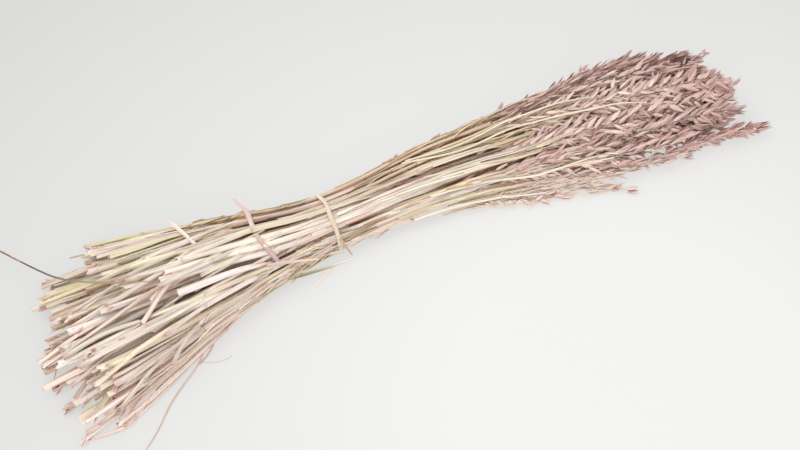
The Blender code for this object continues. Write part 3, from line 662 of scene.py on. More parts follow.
def sheath(shell, path, s, radius, a, b, rng, seed, tint, phase, arc=(5.7, 4.6), out=(0.25, 0.7), torn=(0.0, 3.0), cols=8):
    """A leaf's sheath rolled round the straw from a to b along it, open down one side, with torn ends."""
    n = max(4, int((b - a) / 10.0) + 1)
    at = np.linspace(a, b, n)
    t0 = unit(path[1] - path[0])
    mid = np.stack([np.interp(at, s, path[:, c]) for c in range(3)], 1) + np.minimum(at, 0)[:, None] * t0
    r = np.interp(at, s, radius)
    t, side, ups = carried(mid, (0, 0, 1))
    f = np.linspace(0, 1, n)
    spread = arc[0] + (arc[1] - arc[0]) * smooth((f - 0.4) / 0.6)
    turn = phase + rng.uniform(-0.7, 0.7) * f
    lift = out[0] + (out[1] - out[0]) * f**2 + (0.35 * (1 - smooth(f / 0.12)) if a <= 0 else 0)
    v = np.linspace(-0.5, 0.5, cols)
    ang = turn[:, None] + v[None] * spread[:, None]
    lap = 0.22 * (v + 0.5)
    rr = r[:, None] + lift[:, None] + lap[None] + rng.normal(0, 0.06, (n, cols))
    rr = rr + 0.6 * smooth((abs(v) - 0.34) / 0.16)[None] * f[:, None] ** 1.5
    pos = lambda k: mid[:, None] + side[:, None] * (np.cos(ang) * (rr - k))[..., None] + ups[:, None] * (np.sin(ang) * (rr - k) * 0.85)[..., None]
    outer, inner = pos(0.0), pos(0.17)
    for end, amount, sign in ((0, torn[0], -1), (-1, torn[1], 1)):
        if amount:
            jag = np.abs(rng.normal(0, amount, cols)) * sign
            outer[end] += t[end] * jag[:, None]
            inner[end] += t[end] * jag[:, None]
    rings = lift_off_floor(np.concatenate([outer, inner[:, ::-1]], 1))
    vv = np.concatenate([ang * 2.2, ang[:, ::-1] * 2.2], 1)
    grain = np.stack([np.broadcast_to((at * 0.03)[:, None], vv.shape), vv, np.broadcast_to(np.repeat([0.0, 3.0], cols)[None], vv.shape)], -1) + seed
    edge = smooth((abs(np.concatenate([v, v[::-1]])) - 0.34) / 0.16)[None, :, None]
    colour = tint[None, None] * (1 - 0.12 * np.repeat([0, 1], cols))[None, :, None]
    colour = colour * (1 - 0.4 * edge) + lin(218, 168, 152) * 0.4 * edge
    tip = smooth((f - 0.8) / 0.2)[:, None, None] * 0.4
    colour = colour * (1 - tip) + lin(214, 168, 150) * tip
    # the sheath's inward and lower flank gets painted shade
    colour = flank_shade(rings, mid, np.broadcast_to(colour, rings.shape), 0.7)
    add_loft(shell, rings, M_SHEATH, colour, grain)


def leaf(shell, path, ups, half, tint, rng, seed, roll=0.0, cup=0.3, tipped=(0, 1), mat=None, thick=0.2, cols=4):
    """A flat leaf, sheath or split straw along a path; tipped says how far each end narrows."""
    n = len(path)
    f = np.linspace(0, 1, n)
    t = unit(np.gradient(path, axis=0))
    ups = unit(ups - t * (ups * t).sum(-1, keepdims=True))
    sd = np.cross(t, ups)
    ang = roll * (f - 0.5) + rng.normal(0, 0.10, n).cumsum() * 0.25
    ups = ups * np.cos(ang)[:, None] + sd * np.sin(ang)[:, None]
    width = half * (1 - tipped[0] * (1 - np.clip(f * 4, 0, 1))) * (1 - tipped[1] * smooth((f - 0.35) / 0.65)) + 0.1
    width = width * (1 + 0.10 * np.interp(f, np.linspace(0, 1, 7), rng.normal(0, 1, 7)))
    reach = width * np.abs(np.cross(t, ups)[:, 2]) + 0.25
    path = path.copy()
    path[:, 2] = np.maximum(path[:, 2], reach + 0.15)
    strip(shell, path, width, ups, M_LEAF if mat is None else mat, tint, seed, cup=cup, cols=cols, thick=thick)


# ---------------------------------------------------------------- spikelets and heads
def glume(us, belly=1.0, bend=0.05):
    """A boat-shaped husk along +X from 0 to 1, half width up to 0.5 in Y, its back bulging to +Z."""
    u = np.array(us)
    w = 1.43 * u**0.55 * (1 - u) ** 1.1
    w[0], w[-1] = 0.08, 0.012
    v = np.array([-1, -0.45, 0.45, 1, 0.42, -0.42])
    deep = np.array([0, 0.80, 0.80, 0, 0.66, 0.66])
    rings = np.zeros((len(u), 6, 3))
    rings[..., 0] = u[:, None]
    rings[..., 1] = w[:, None] * v[None]
    rings[..., 2] = w[:, None] * belly * deep[None] + (bend * u**2)[:, None] + np.array([0, 0.035, 0.035, 0, 0, 0])[None]
    rings[:, 3, 2] += 0.012
    rings[:, 0, 2] += 0.012
    grain = np.stack([np.broadcast_to(u[:, None] * 1.5, rings.shape[:2]), np.broadcast_to(v[None], rings.shape[:2]), np.zeros(rings.shape[:2])], -1)
    return rings, grain, np.broadcast_to(u[:, None], rings.shape[:2])


def floret():
    """The slim grain husk between the glumes."""
    u = np.array([0.05, 0.20, 0.45, 0.72, 0.90])
    w = np.array([0.05, 0.22, 0.27, 0.14, 0.02])
    a = np.arange(4) * math.pi / 2 + math.pi / 4
    rings = np.zeros((len(u), 4, 3))
    rings[..., 0] = u[:, None]
    rings[..., 1] = w[:, None] * np.cos(a)[None]
    rings[..., 2] = w[:, None] * 0.8 * np.sin(a)[None]
    grain = np.stack([np.broadcast_to(u[:, None] * 1.5, rings.shape[:2]), np.broadcast_to(np.cos(a)[None], rings.shape[:2]), np.ones(rings.shape[:2]) * 5], -1)
    return rings, grain, np.broadcast_to(u[:, None], rings.shape[:2])


GLUME_FULL, GLUME_LEAN, FLORET = glume([0, 0.08, 0.28, 0.54, 0.79, 1.0]), glume([0, 0.12, 0.36, 0.64, 1.0]), floret()


def turned(points, angle):
    """Turned about Y, so that a positive angle lifts +X toward +Z."""
    c, s = math.cos(angle), math.sin(angle)
    out = points.copy()
    out[..., 0] = points[..., 0] * c - points[..., 2] * s
    out[..., 2] = points[..., 0] * s + points[..., 2] * c
    return out


def settled(q):
    """Presses what stands too high down onto the pile."""
    z = q[..., 2]
    return np.concatenate([q[..., :2], np.where(z > CEILING, CEILING + 0.4 * (z - CEILING), z)[..., None]], -1)


def spikelet(shell, base, axis, face, length, width, gape, rng, tint, lean=False):
    """Two glumes gaping from base along axis, and what they hold. The floor lifts their tips."""
    axis = unit(axis)
    side = unit(np.cross(face, axis))
    frame3 = np.stack([axis, side, np.cross(axis, side)])
    shape = GLUME_LEAN if lean else GLUME_FULL
    parts = []
    for sign, k in ((1, 1.0), (-1, rng.uniform(0.86, 0.99))):
        g = shape[0] * np.array([length * k, width * rng.uniform(0.88, 1.1), width * 0.60])
        parts.append((turned(g, gape * rng.uniform(0.35, 0.75)) * np.array([1, 1, sign]), shape[1], shape[2]))
    if gape > 0.17 and not lean:
        parts.append((FLORET[0] * np.array([length * 0.88, width * 0.75, width * 0.6]), FLORET[1], FLORET[2]))
    placed = [base + p @ frame3 for p, _, _ in parts]
    low = min(float(p[..., 2].min()) for p in placed)
    lift = max(0.0, 0.35 - low)
    seed = rng.uniform(0, 50)
    for (_, grain, u), q in zip(parts, placed):
        q = settled(q + np.array([0, 0, lift]))
        colour = mix(np.broadcast_to(HUSK, (*u.shape, 3)), np.broadcast_to(tint, (*u.shape, 3)), smooth(u / 0.2))
        colour = mix(colour, np.broadcast_to(PETAL_TIP, colour.shape), 0.45 * smooth((u - 0.7) / 0.3))
        add_loft(shell, q, M_GLUME, colour * rng.uniform(0.95, 1.05), grain + np.array([0, 0, seed]))


def branch(shell, points, r0, r1, tint, seed, count=5):
    path = curve(points, count=count)
    path[:, 2] = np.maximum(path[:, 2], 0.6)
    tube(shell, settled(path), np.linspace(r0, r1, len(path)), 3, M_STRAW, tint, seed)


PETAL, PETAL_PALE, PETAL_DEEP, PETAL_TIP = lin(230, 206, 197), lin(239, 220, 210), lin(204, 170, 160), lin(240, 222, 212)
HUSK = lin(232, 211, 192)


def depth_under(p, out):
    """How far p lies under the pile's outside, going out."""
    s = SECTIONS[int(np.clip(round((p[0] - GRID_X[0]) / 6.0), 0, len(GRID_X) - 1))]
    if len(s) == 0:
        return 0.0
    rel, d = s[:, :2] - p[1:], out[1:]
    proj, across = rel @ d, np.abs(rel[:, 0] * d[1] - rel[:, 1] * d[0])
    r = s[:, 2] + 3
    hit = across < r
    return float((proj[hit] + np.sqrt(r[hit] ** 2 - across[hit] ** 2)).max()) if hit.any() else 0.0


def buried(path):
    """How deep each point lies, from above or from outside, whichever is less."""
    outs = outward_at(path)
    return np.array([min(max(top_z(p[0], p[1], 1.0) - p[2], 0.0), depth_under(p, o)) for p, o in zip(path, outs)])


def head(shell, path, s, s0, rng, seed, stem_tint):
    """The panicle, pressed flat by its neighbours: thin branches leave the rachis to left and right and end in spikelets that slant forward."""
    t, side, ups = carried(path, (0, 0, 1))
    outs = outward_at(path)
    spot = lambda q: np.array([np.interp(q, s, path[:, c]) for c in range(3)])
    heading = lambda q: unit(np.array([np.interp(q, s, t[:, c]) for c in range(3)]))
    outing = lambda q: unit(np.array([np.interp(q, s, outs[:, c]) for c in range(3)]))
    under = depth_under(spot(0.6 * s[-1] + 0.4 * s0), outing(0.6 * s[-1] + 0.4 * s0))
    stray = path[-1, 0] < 215
    n = int((108 if under < 9 else 64 if under < 18 else 20) * (s[-1] - s0) / 185.0)
    if stray:
        n = 15
    lean = under > 18
    mood = mix(mix(PETAL, PETAL_PALE, rng.uniform(0, 0.55)), PETAL_DEEP, 0.5 * rng.random() ** 2)
    end = s[-1] - 13.0
    sign = 1
    for k in range(n):
        f = (k + 0.5 + 0.4 * rng.normal()) / n
        f = min(max(f, 0.0), 1.0)
        q = s0 + 6 + (end - s0 - 6) * f**0.94
        sign = -sign if rng.random() < 0.85 else sign
        d, out = heading(q), outing(q)
        lat = unit(np.cross(d, out)) * sign
        fat = (5.0 if stray else 7.2) * math.sin(math.pi * (0.08 + 0.82 * f)) ** 0.7 + 0.8
        roll = rng.normal(0.25, 0.75) if not stray else rng.uniform(-2.5, 2.5)
        radial = lat * math.cos(roll) + out * math.sin(roll)
        rise = rng.uniform(-0.2, 1.0) * math.sin(roll)
        base = spot(q) + radial * fat * rng.uniform(0.15, 1.0)
        base[2] = max(base[2], 1.7)
        open_out = float(smooth(f / 0.4))
        theta = math.radians(float(np.clip(rng.normal(17 + 13 * open_out, 7 + 5 * open_out) if not stray else rng.normal(34, 12), 3, 66)))
        axis = d * math.cos(theta) + (lat * rng.uniform(0.7, 1.0) + radial * rng.uniform(0.0, 0.35) + np.array([0, 0, -0.10])) * math.sin(theta) + rng.normal(0, 0.07, 3)
        root = spot(max(q - rng.uniform(10, 30) * (1 - 0.55 * f), s0 * 0.5 + 0.5 * (q - 20)))
        depth = float(np.clip(0.5 + (base - spot(q)) @ out / 9.0, 0, 1))
        tone = mood * rng.uniform(0.88, 1.08) * np.array([1.0, rng.uniform(0.965, 1.03), rng.uniform(0.955, 1.035)])
        tone = mix(tone, HUSK, 0.35 * (1 - open_out))
        if rng.random() < 0.10:
            tone = mix(tone, HUSK, rng.uniform(0.3, 0.8))
        if rng.random() < 0.14:
            tone = mix(tone, PETAL_DEEP, 0.8)
        if stray:
            tone, depth = mix(tone, lin(236, 210, 190), 0.35), 0.85
        # spikelets deeper in the pile are painted in shade, darker and redder; all grow a little darker toward the end
        # of the heads and toward the far side
        tone = mix(tone, tone * np.array([0.64, 0.36, 0.33]), 0.8 * (1 - depth)) * mix(np.ones(3), np.array([0.90, 0.80, 0.80]), float(smooth((base[0] - 215) / 90.0))) * mix(np.ones(3), np.array([0.88, 0.82, 0.81]), float(smooth((base[1] - 22) / 26.0)))
        # branches deeper in are painted darker in the same way
        if not lean or rng.random() < 0.4:
            branch(shell, [root, 0.5 * (root + base) + radial * 0.15 * fat, base], 0.32, 0.2, mix(stem_tint, mood * mix(np.array([0.72, 0.52, 0.47]), np.ones(3), depth), 0.5 + 0.45 * f), seed)
        face = unit(out * 0.8 + radial * 0.5 + rng.normal(0, 0.45, 3))
        size = rng.uniform(11.5, 16.0) * (1.04 - 0.08 * f)
        if hides_rider(base + axis / np.linalg.norm(axis) * 0.5 * size) and rng.random() < 0.85:
            continue
        open_ = rng.uniform(0.03, 0.12) if rng.random() < (0.2 if stray else 0.4) else rng.uniform(0.15, 0.46)
        spikelet(shell, base, axis, face, size, rng.uniform(3.2, 4.4) * (0.8 if stray else 0.72 + 0.28 * open_out), open_, rng, tone, lean)
    last = spot(end)
    for _ in range(2):
        spikelet(shell, last - heading(end) * rng.uniform(0, 3), heading(end) + rng.normal(0, 0.22, 3), (0.1, 0.3, 1), rng.uniform(12.5, 15), 3.8, rng.uniform(0.1, 0.35), rng, mood * float(np.interp(last[0], [235, 335], [1.0, 0.86])))
    return n + 2


# ---------------------------------------------------------------- one stalk
GREENISH, STRAWISH = lin(226, 207, 166), lin(243, 227, 194)
shells, told = {}, {}


def stalk(name, index):
    mids, rad = LINES[name]
    rng = np.random.default_rng(7000 + index)
    seed = np.array([rng.uniform(0, 90), rng.uniform(0, 90), rng.uniform(0, 90)])
    shell = Shell()
    path = curve(mids, step=7.0)
    r_cad = np.interp(path[:, 0], mids[:, 0], rad)
    after = np.nonzero(path[:, 0] > X_TIE)[0]
    k_whorl = int(after[0] + np.argmin(r_cad[after[: int(len(after) * 0.6)]]))
    s = lengths(path)
    s_whorl = s[k_whorl]
    # paler toward the near side: painted light
    tint = straw_tint(path[0], rng) * near_side_light(path[0, 1])
    joints, at = [], rng.uniform(26, 150)
    while at < s_whorl - 40:
        joints.append(at)
        at += rng.uniform(115, 185)
    # the straw itself, never quite straight
    dense = np.concatenate([np.arange(0, s_whorl + 6, 9.0), [0, 1.5, 4]] + [[j - 3, j - 1, j, j + 1, j + 3] for j in joints])
    dense = np.unique(np.round(dense[(dense >= 0) & (dense <= s_whorl + 6)], 2))
    dense = dense[np.concatenate([[True], np.diff(dense) > 0.5])]
    fine = np.stack([np.interp(dense, s, path[:, c]) for c in range(3)], 1)
    knots = np.arange(0, s[-1] + 90, 40.0)
    fine[:, 1] += np.interp(dense, knots, rng.normal(0, 0.45, len(knots)))
    fine[:, 2] += np.interp(dense, knots, rng.normal(0, 0.35, len(knots)))
    r_stem = np.interp(dense, s, r_cad) * (0.95 + 0.08 * (1 - smooth((dense - 110) / 70.0)))
    slight = 1 - smooth((path[0, 1] + 82) / 16.0)
    r_stem = r_stem * (1 - 0.5 * slight * (1 - smooth((dense - 60) / 90.0))) * (1 - 0.15 * smooth(fine[:, 0] / 60.0))
    tint = mix(tint, lin(232, 210, 198), 0.7 * slight)
    green = mix(GREENISH, STRAWISH, rng.uniform(0.1, 1.0))
    if rng.random() < 0.35:
        green = lin(232, 204, 192)
    low_edge = smooth((fine[-1, 1] + 12) / -14.0)
    green = mix(green, lin(248, 242, 222), 0.7 * low_edge)
    f_up = smooth((dense - 180) / 190)
    colour = tint[None] * (1 - 0.75 * f_up[:, None]) + green[None] * 0.75 * f_up[:, None]
    colour = colour * np.interp(dense, knots, rng.uniform(0.92, 1.05, len(knots)))[:, None]
    # where the straw lies deep in the bundle it is painted in shade with the gaps' brown, less so toward the butt end
    # of the fan
    inside = smooth((np.interp(dense, dense[::4], buried(fine[::4])) - 3.5) / 8.0)[:, None] * 0.85
    inside = inside * (1 - np.maximum(0.6 * smooth(fine[:, 1:2] / 25.0) * smooth((-210 - fine[:, :1]) / 50.0), 0.75 * smooth((-236 - fine[:, :1]) / 50.0)))
    colour = colour * (1 - inside) + painted_gap_shade(fine) * inside
    fine[:, 2] = np.maximum(fine[:, 2], r_stem * 0.8 + 0.2)
    culm(shell, fine, dense, r_stem, colour, rng, seed, joints)
    # sheaths
    papery = mix(tint, lin(242, 232, 224), 0.40 + 0.3 * rng.random())
    if rng.random() < 0.75:
        sheath(shell, fine, dense, r_stem, -rng.uniform(0, 5), min(rng.uniform(60, 150), (joints + [200])[0] + 60), rng, seed + 7, papery * rng.uniform(0.93, 1.03), rng.uniform(0, 6.28), arc=(rng.uniform(4.2, 5.9), rng.uniform(2.4, 4.6)), out=(0.15, rng.uniform(0.3, 0.9)), torn=(2.0, 5.0))
    for j in joints:
        room = rng.uniform(75, 150)
        stop = min(j + room, s_whorl - 4)
        if stop - j > 40:
            tone = mix(mix(papery, lin(222, 208, 158), float(smooth((j - 120) / 160)) * rng.uniform(0.2, 0.8)), lin(226, 190, 178), rng.uniform(0, 0.45))
            sheath(shell, fine, dense, r_stem, j + 1.0, stop, rng, seed + 13 + j, tone * rng.uniform(0.9, 1.03), rng.uniform(0, 6.28), arc=(rng.uniform(5.0, 5.9), rng.uniform(2.4, 4.4)), out=(0.15, rng.uniform(0.4, 0.9)), torn=(0.0, 4.0))
    # torn fibres round the cut
    back = -unit(fine[3] - fine[0])
    for _ in range(int(rng.integers(0, 3))):
        a = rng.uniform(0, 6.28)
        d = np.array([0, math.cos(a), math.sin(a)])
        start = fine[0] + d * r_stem[0] * 1.02 - back * rng.uniform(3, 16)
        way = unit(back + d * rng.uniform(0.02, 0.45) + rng.normal(0, 0.10, 3))
        reach = rng.uniform(4, 10)
        g = np.linspace(0, 1, 6)
        p = start + way * (g * reach)[:, None] + np.array([0, 0, -1.0]) * (rng.uniform(0, 5) * g**2)[:, None] + np.cross(way, (0, 0, 1)) * (rng.normal(0, 3) * g**2)[:, None]
        leaf(shell, p, np.tile(d + np.array([0, 0, 0.3]), (6, 1)), rng.uniform(0.35, 1.3), mix(papery, lin(214, 168, 150), rng.random()), rng, seed + 57, roll=rng.normal(0, 1.5), mat=M_SHEATH)
    frays = np.random.default_rng(9100 + index)
    for _ in range(int(frays.integers(1, 4))):
        a = frays.uniform(0, 6.28)
        d = np.array([0, math.cos(a), math.sin(a)])
        start = fine[0] + d * r_stem[0] - back * frays.uniform(1, 8)
        way = unit(back + d * frays.uniform(0.1, 0.8) + frays.normal(0, 0.22, 3))
        g = np.linspace(0, 1, 6)
        p = start + way * (g * frays.uniform(4, 11))[:, None] + np.array([0, 0, -1.0]) * (frays.uniform(1, 5) * g**2)[:, None]
        leaf(shell, p, np.tile(d + np.array([0, 0, 0.3]), (6, 1)), frays.uniform(0.5, 1.5), mix(lin(232, 206, 194), lin(198, 154, 138), frays.random()), frays, seed + 61, roll=frays.normal(0, 1.6), tipped=(0.3, 0.9), cup=0.8, mat=M_SHEATH)
    # the rachis and its branches
    exposed = depth_under(path[k_whorl], outward_at(path[k_whorl:k_whorl + 1])[0])
    late = rng.uniform(-45, 5)
    if path[k_whorl, 1] > 14:
        late = rng.uniform(30, 62) if exposed < 9 else rng.uniform(0, 36)
    elif path[k_whorl, 1] > 0:
        late = rng.uniform(-15, 25)
    if path[-1, 0] < 215:
        late = rng.uniform(-8, 4)
    ax = np.arange(s_whorl, s[-1] - 12, 11.0)
    spine = np.stack([np.interp(ax, s, path[:, c]) for c in range(3)], 1)
    r0 = float(r_stem[-1])
    thin = np.interp(ax, [s_whorl, s_whorl + max(late, 5) + 10, s[-1]], [r0, 0.75 * r0, 0.3])
    spine[:, 2] = np.maximum(spine[:, 2], thin + 0.3)
    tone = np.interp(ax, [s_whorl + max(late, 5), s_whorl + max(late, 5) + 40], [0, 0.85])[:, None]
    tube(shell, spine, thin, 6, M_STRAW, colour[-1][None] * (1 - tone) + lin(196, 148, 134)[None] * tone, seed)
    count = head(shell, path, s, s_whorl + late, rng, seed, mix(green, HUSK, 0.3))
    shells[name] = shell
    told[name] = (fine, dense, tint, r_stem)
    return count


spikelets = sum(stalk(name, index) for index, name in enumerate(stalk_names))


# ---------------------------------------------------------------- split straws, loose sheaths and blades grown on the stalks
def owner(p):
    """The stalk that runs nearest to p."""
    best, who = 1e9, None
    for name, (mids, _) in LINES.items():
        if mids[0, 0] - 25 < p[0] < mids[-1, 0]:
            y, z = np.interp(p[0], mids[:, 0], mids[:, 1]), np.interp(p[0], mids[:, 0], mids[:, 2])
            d = (y - p[1]) ** 2 + (z - p[2]) ** 2
            if d < best:
                best, who = d, name
    return who or stalk_names[0]


def warm(y, rng, deep):
    """Straw tint by place: more pink to the near side, and deeper inside the fan; paler toward the near side, a painted
    light.
    """
    pink = float(np.clip(0.5 - y / 110 + rng.normal(0, 0.25), 0, 1))
    pale = mix(mix(CREAM, YELLOW, rng.uniform(0, 0.55)), mix(BLUSH, ROSE, rng.uniform(0, 0.6)), pink)
    return mix(pale, lin(222, 172, 140), deep) * rng.uniform(0.865, 1.02) * near_side_light(y)


def fan_edge(y):
    """How far to the left the fan's pieces reach, by y."""
    return float(np.interp(y, [-95, -60, -20, 30, 60, 80], [-322, -334, -338, -330, -300, -272])) - SHIFT[0]


def between(name, rng, far, sink):
    """A way between this stalk and one beside it, from near their butts to the waist."""
    mids, _ = LINES[name]
    x0 = mids[0, 0]
    probe = max(x0 + 12, -285.0 + 30 * rng.random())
    here = at_x(name, [probe])[0]
    near = []
    for other in stalk_names:
        om = LINES[other][0]
        if other != name and om[0, 0] < probe:
            dist = float(np.hypot(*(at_x(other, [probe])[0] - here)))
            if 4 < dist < far:
                near.append((dist, other))
    if not near:
        return None, None
    near.sort()
    other = near[min(len(near) - 1, int(rng.integers(0, min(4, len(near)))))][1]
    w0, w1 = rng.uniform(0.25, 0.75), rng.uniform(0.25, 0.75)
    start = max(x0 + rng.normal(10, 14), fan_edge(here[0]))
    stop = rng.uniform(-150, -84)
    n = int((stop - start) / 14) + 2
    if n < 6:
        return None, None
    xs = np.linspace(start, stop, n)
    w = (w0 + (w1 - w0) * smooth(np.linspace(0, 1, n)))[:, None]
    a, b = at_x(name, xs), at_x(other, xs)
    sa = np.gradient(at_x(name, [x0, x0 + 10]), axis=0)[0] / 10.0
    yz = a * (1 - w) + b * w + np.minimum(xs - x0, 0)[:, None] * sa
    path = np.column_stack([xs, yz])
    path[:, 2] += sink + np.interp(np.linspace(0, 1, n), np.linspace(0, 1, 4), rng.normal(0, 0.4, 4))
    path[:, 1] += np.interp(np.linspace(0, 1, n), np.linspace(0, 1, 4), rng.normal(0, 0.5, 4))
    return path, here


def fill_fan():
    """Thinner straws, sheaths and split straws that lie between the stalks of the fan."""
    rng = np.random.default_rng(41)
    for round_ in range(4):
        for name in stalk_names:
            sink = (rng.uniform(-4.5, -0.8), rng.uniform(-4.5, -0.5), rng.uniform(-9, -3), rng.uniform(-2.5, 0.3))[round_]
            path, here = between(name, rng, 30 if round_ == 2 else 22, sink)
            if path is None or rng.random() < (0.15, 0.4, 0.0, 0.7)[round_]:
                continue
            n = len(path)
            s = lengths(path)
            # pieces deeper in the fan are painted toward the gaps' brown shade, less so near the butts
            deep = float(smooth((buried(path[: n // 2 + 1]).mean() - 2.0) / 7.0)) if round_ < 2 else 0.95
            tint = warm(here[0], rng, 0.0)
            tint = mix(tint, painted_gap_shade(path[:1])[0], (0.12 + deep * rng.uniform(0.3, 0.85)) * (0.55 if round_ == 0 else 1.0 - 0.5 * float(smooth((-255 - path[0, 0]) / 40.0))))
            g = np.linspace(0, 1, n)[:, None]
            tone = tint[None] * (1 - 0.2 * g) + lin(216, 176, 134)[None] * 0.2 * g
            seed = rng.uniform(0, 90)
            if round_ == 0:
                radius = rng.uniform(1.6, 2.3)
                path[:, 2] = np.maximum(path[:, 2], radius + 0.2)
                dense = curve(path, step=9.0)
                s = lengths(dense)
                r = radius * (1 - 0.2 * s / s[-1])
                colour = mix(tint, lin(238, 224, 190), 0.15)[None] * np.interp(s, np.linspace(0, s[-1], 7), rng.uniform(0.9, 1.06, 7))[:, None]
                culm(shells[name], dense, s, r, colour, rng, np.array([seed, seed + 3, seed + 5]), [])
                if rng.random() < 0.5:
                    sheath(shells[name], dense, s, r, 0, rng.uniform(50, 130), rng, seed + 7, mix(tint, lin(242, 232, 224), 0.4), rng.uniform(0, 6.28), arc=(rng.uniform(4.2, 5.6), rng.uniform(2.4, 4.0)), out=(0.15, 0.5), torn=(2.0, 4.0))
            elif round_ == 1 and rng.random() < 0.5:
                path[:, 2] = np.maximum(path[:, 2], 2.4)
                sheath(shells[name], path, s, np.full(n, rng.uniform(1.3, 2.1)), 0, s[-1], rng, seed, tint, rng.uniform(0, 6.28), arc=(rng.uniform(5.2, 6.1), rng.uniform(3.5, 5.0)), out=(0.1, 0.4), torn=(1.0, 4.0))
            else:
                half = rng.uniform(1.4, 2.9) if round_ < 3 else rng.uniform(0.5, 1.2)
                out = outward_at(path)
                leaf(shells[name], path, unit(out + np.array([0, 0, 0.8]) + rng.normal(0, 0.35, 3)), half, tone, rng, seed, roll=rng.normal(0, 0.5), cup=rng.uniform(0.3, 0.9), tipped=(rng.uniform(0, 0.4), rng.uniform(0.2, 0.7)), mat=M_SHEATH if rng.random() < 0.6 else M_LEAF)


def crossing():
    """Straws that lie on top of the fan at a slant to the rest."""
    rng = np.random.default_rng(23)
    for k in range(20):
        phi0 = rng.uniform(-1.25, 0.95)
        x0, x1 = row([(rng.uniform(-312, -215), 0, 0)])[0][0], row([(rng.uniform(-150, -100), 0, 0)])[0][0]
        phi1 = float(np.clip(phi0 + rng.normal(0.03, 0.17 if k < 9 else 0.26), -1.3, 1.1))
        (m0, d0, t0), (m1, d1, t1) = around(x0, phi0, 0.5), around(x1, phi1, 0.5)
        if t0 != t0 or t1 != t1:
            continue
        a, b = m0 + d0 * t0, m1 + d1 * t1
        x0 = max(x0, fan_edge(a[0]) + 8)
        radius = rng.uniform(2.0, 2.7) if k < 9 else rng.uniform(1.2, 2.0)
        way = drape([(x0, a[0], 0), (0.5 * (x0 + x1), 0.5 * (a[0] + b[0]) + rng.normal(0, 1.0), 0), (x1, b[0], 0)], radius + 0.2, 0.0, 6.0, floor=radius + 0.3)
        way = way[unjumped(way, 0.42)]
        if len(way) < 9:
            continue
        aim = unit(way[5] - way[0])
        way = np.vstack([way[0] - aim * rng.uniform(6, 18), way[::3], way[-1]])
        path = curve(way, step=9.0)
        for _ in range(6):
            path[1:-1] += 0.5 * (0.5 * (path[:-2] + path[2:]) - path[1:-1])
        s = lengths(path)
        f = s / s[-1]
        path[:, 2] -= 2.2 + 4.0 * smooth((f - 0.6) / 0.4)
        path[:, 2] = np.maximum(path[:, 2], radius + 0.2)
        r = radius * (1 - 0.3 * f)
        tint = warm(a[0], rng, 0.0)
        joints = [rng.uniform(20, 0.7 * s[-1])] if rng.random() < 0.6 else []
        dense = np.unique(np.round(np.concatenate([s] + [[j - 3, j - 1, j, j + 1, j + 3] for j in joints]), 2))
        dense = dense[(dense >= 0) & (dense <= s[-1])]
        dense = dense[np.concatenate([[True], np.diff(dense) > 0.5])]
        fine = np.stack([np.interp(dense, s, path[:, c]) for c in range(3)], 1)
        shell = shells[owner(path[len(path) // 2])]
        seed = rng.uniform(0, 90)
        culm(shell, fine, dense, np.interp(dense, s, r), tint[None] * np.interp(dense, np.linspace(0, s[-1], 6), rng.uniform(0.93, 1.05, 6))[:, None], rng, np.array([seed, seed + 3, seed + 5]), joints)
        if rng.random() < 0.7:
            sheath(shell, fine, dense, np.interp(dense, s, r), joints[0] + 1 if joints else -2.0, min(s[-1] - 5, (joints or [0])[0] + rng.uniform(50, 110)), rng, seed + 7, mix(tint, lin(242, 232, 224), 0.4), rng.uniform(0, 6.28), arc=(rng.uniform(4.2, 5.6), rng.uniform(2.4, 4.0)), out=(0.15, 0.5), torn=(2.0, 4.0))


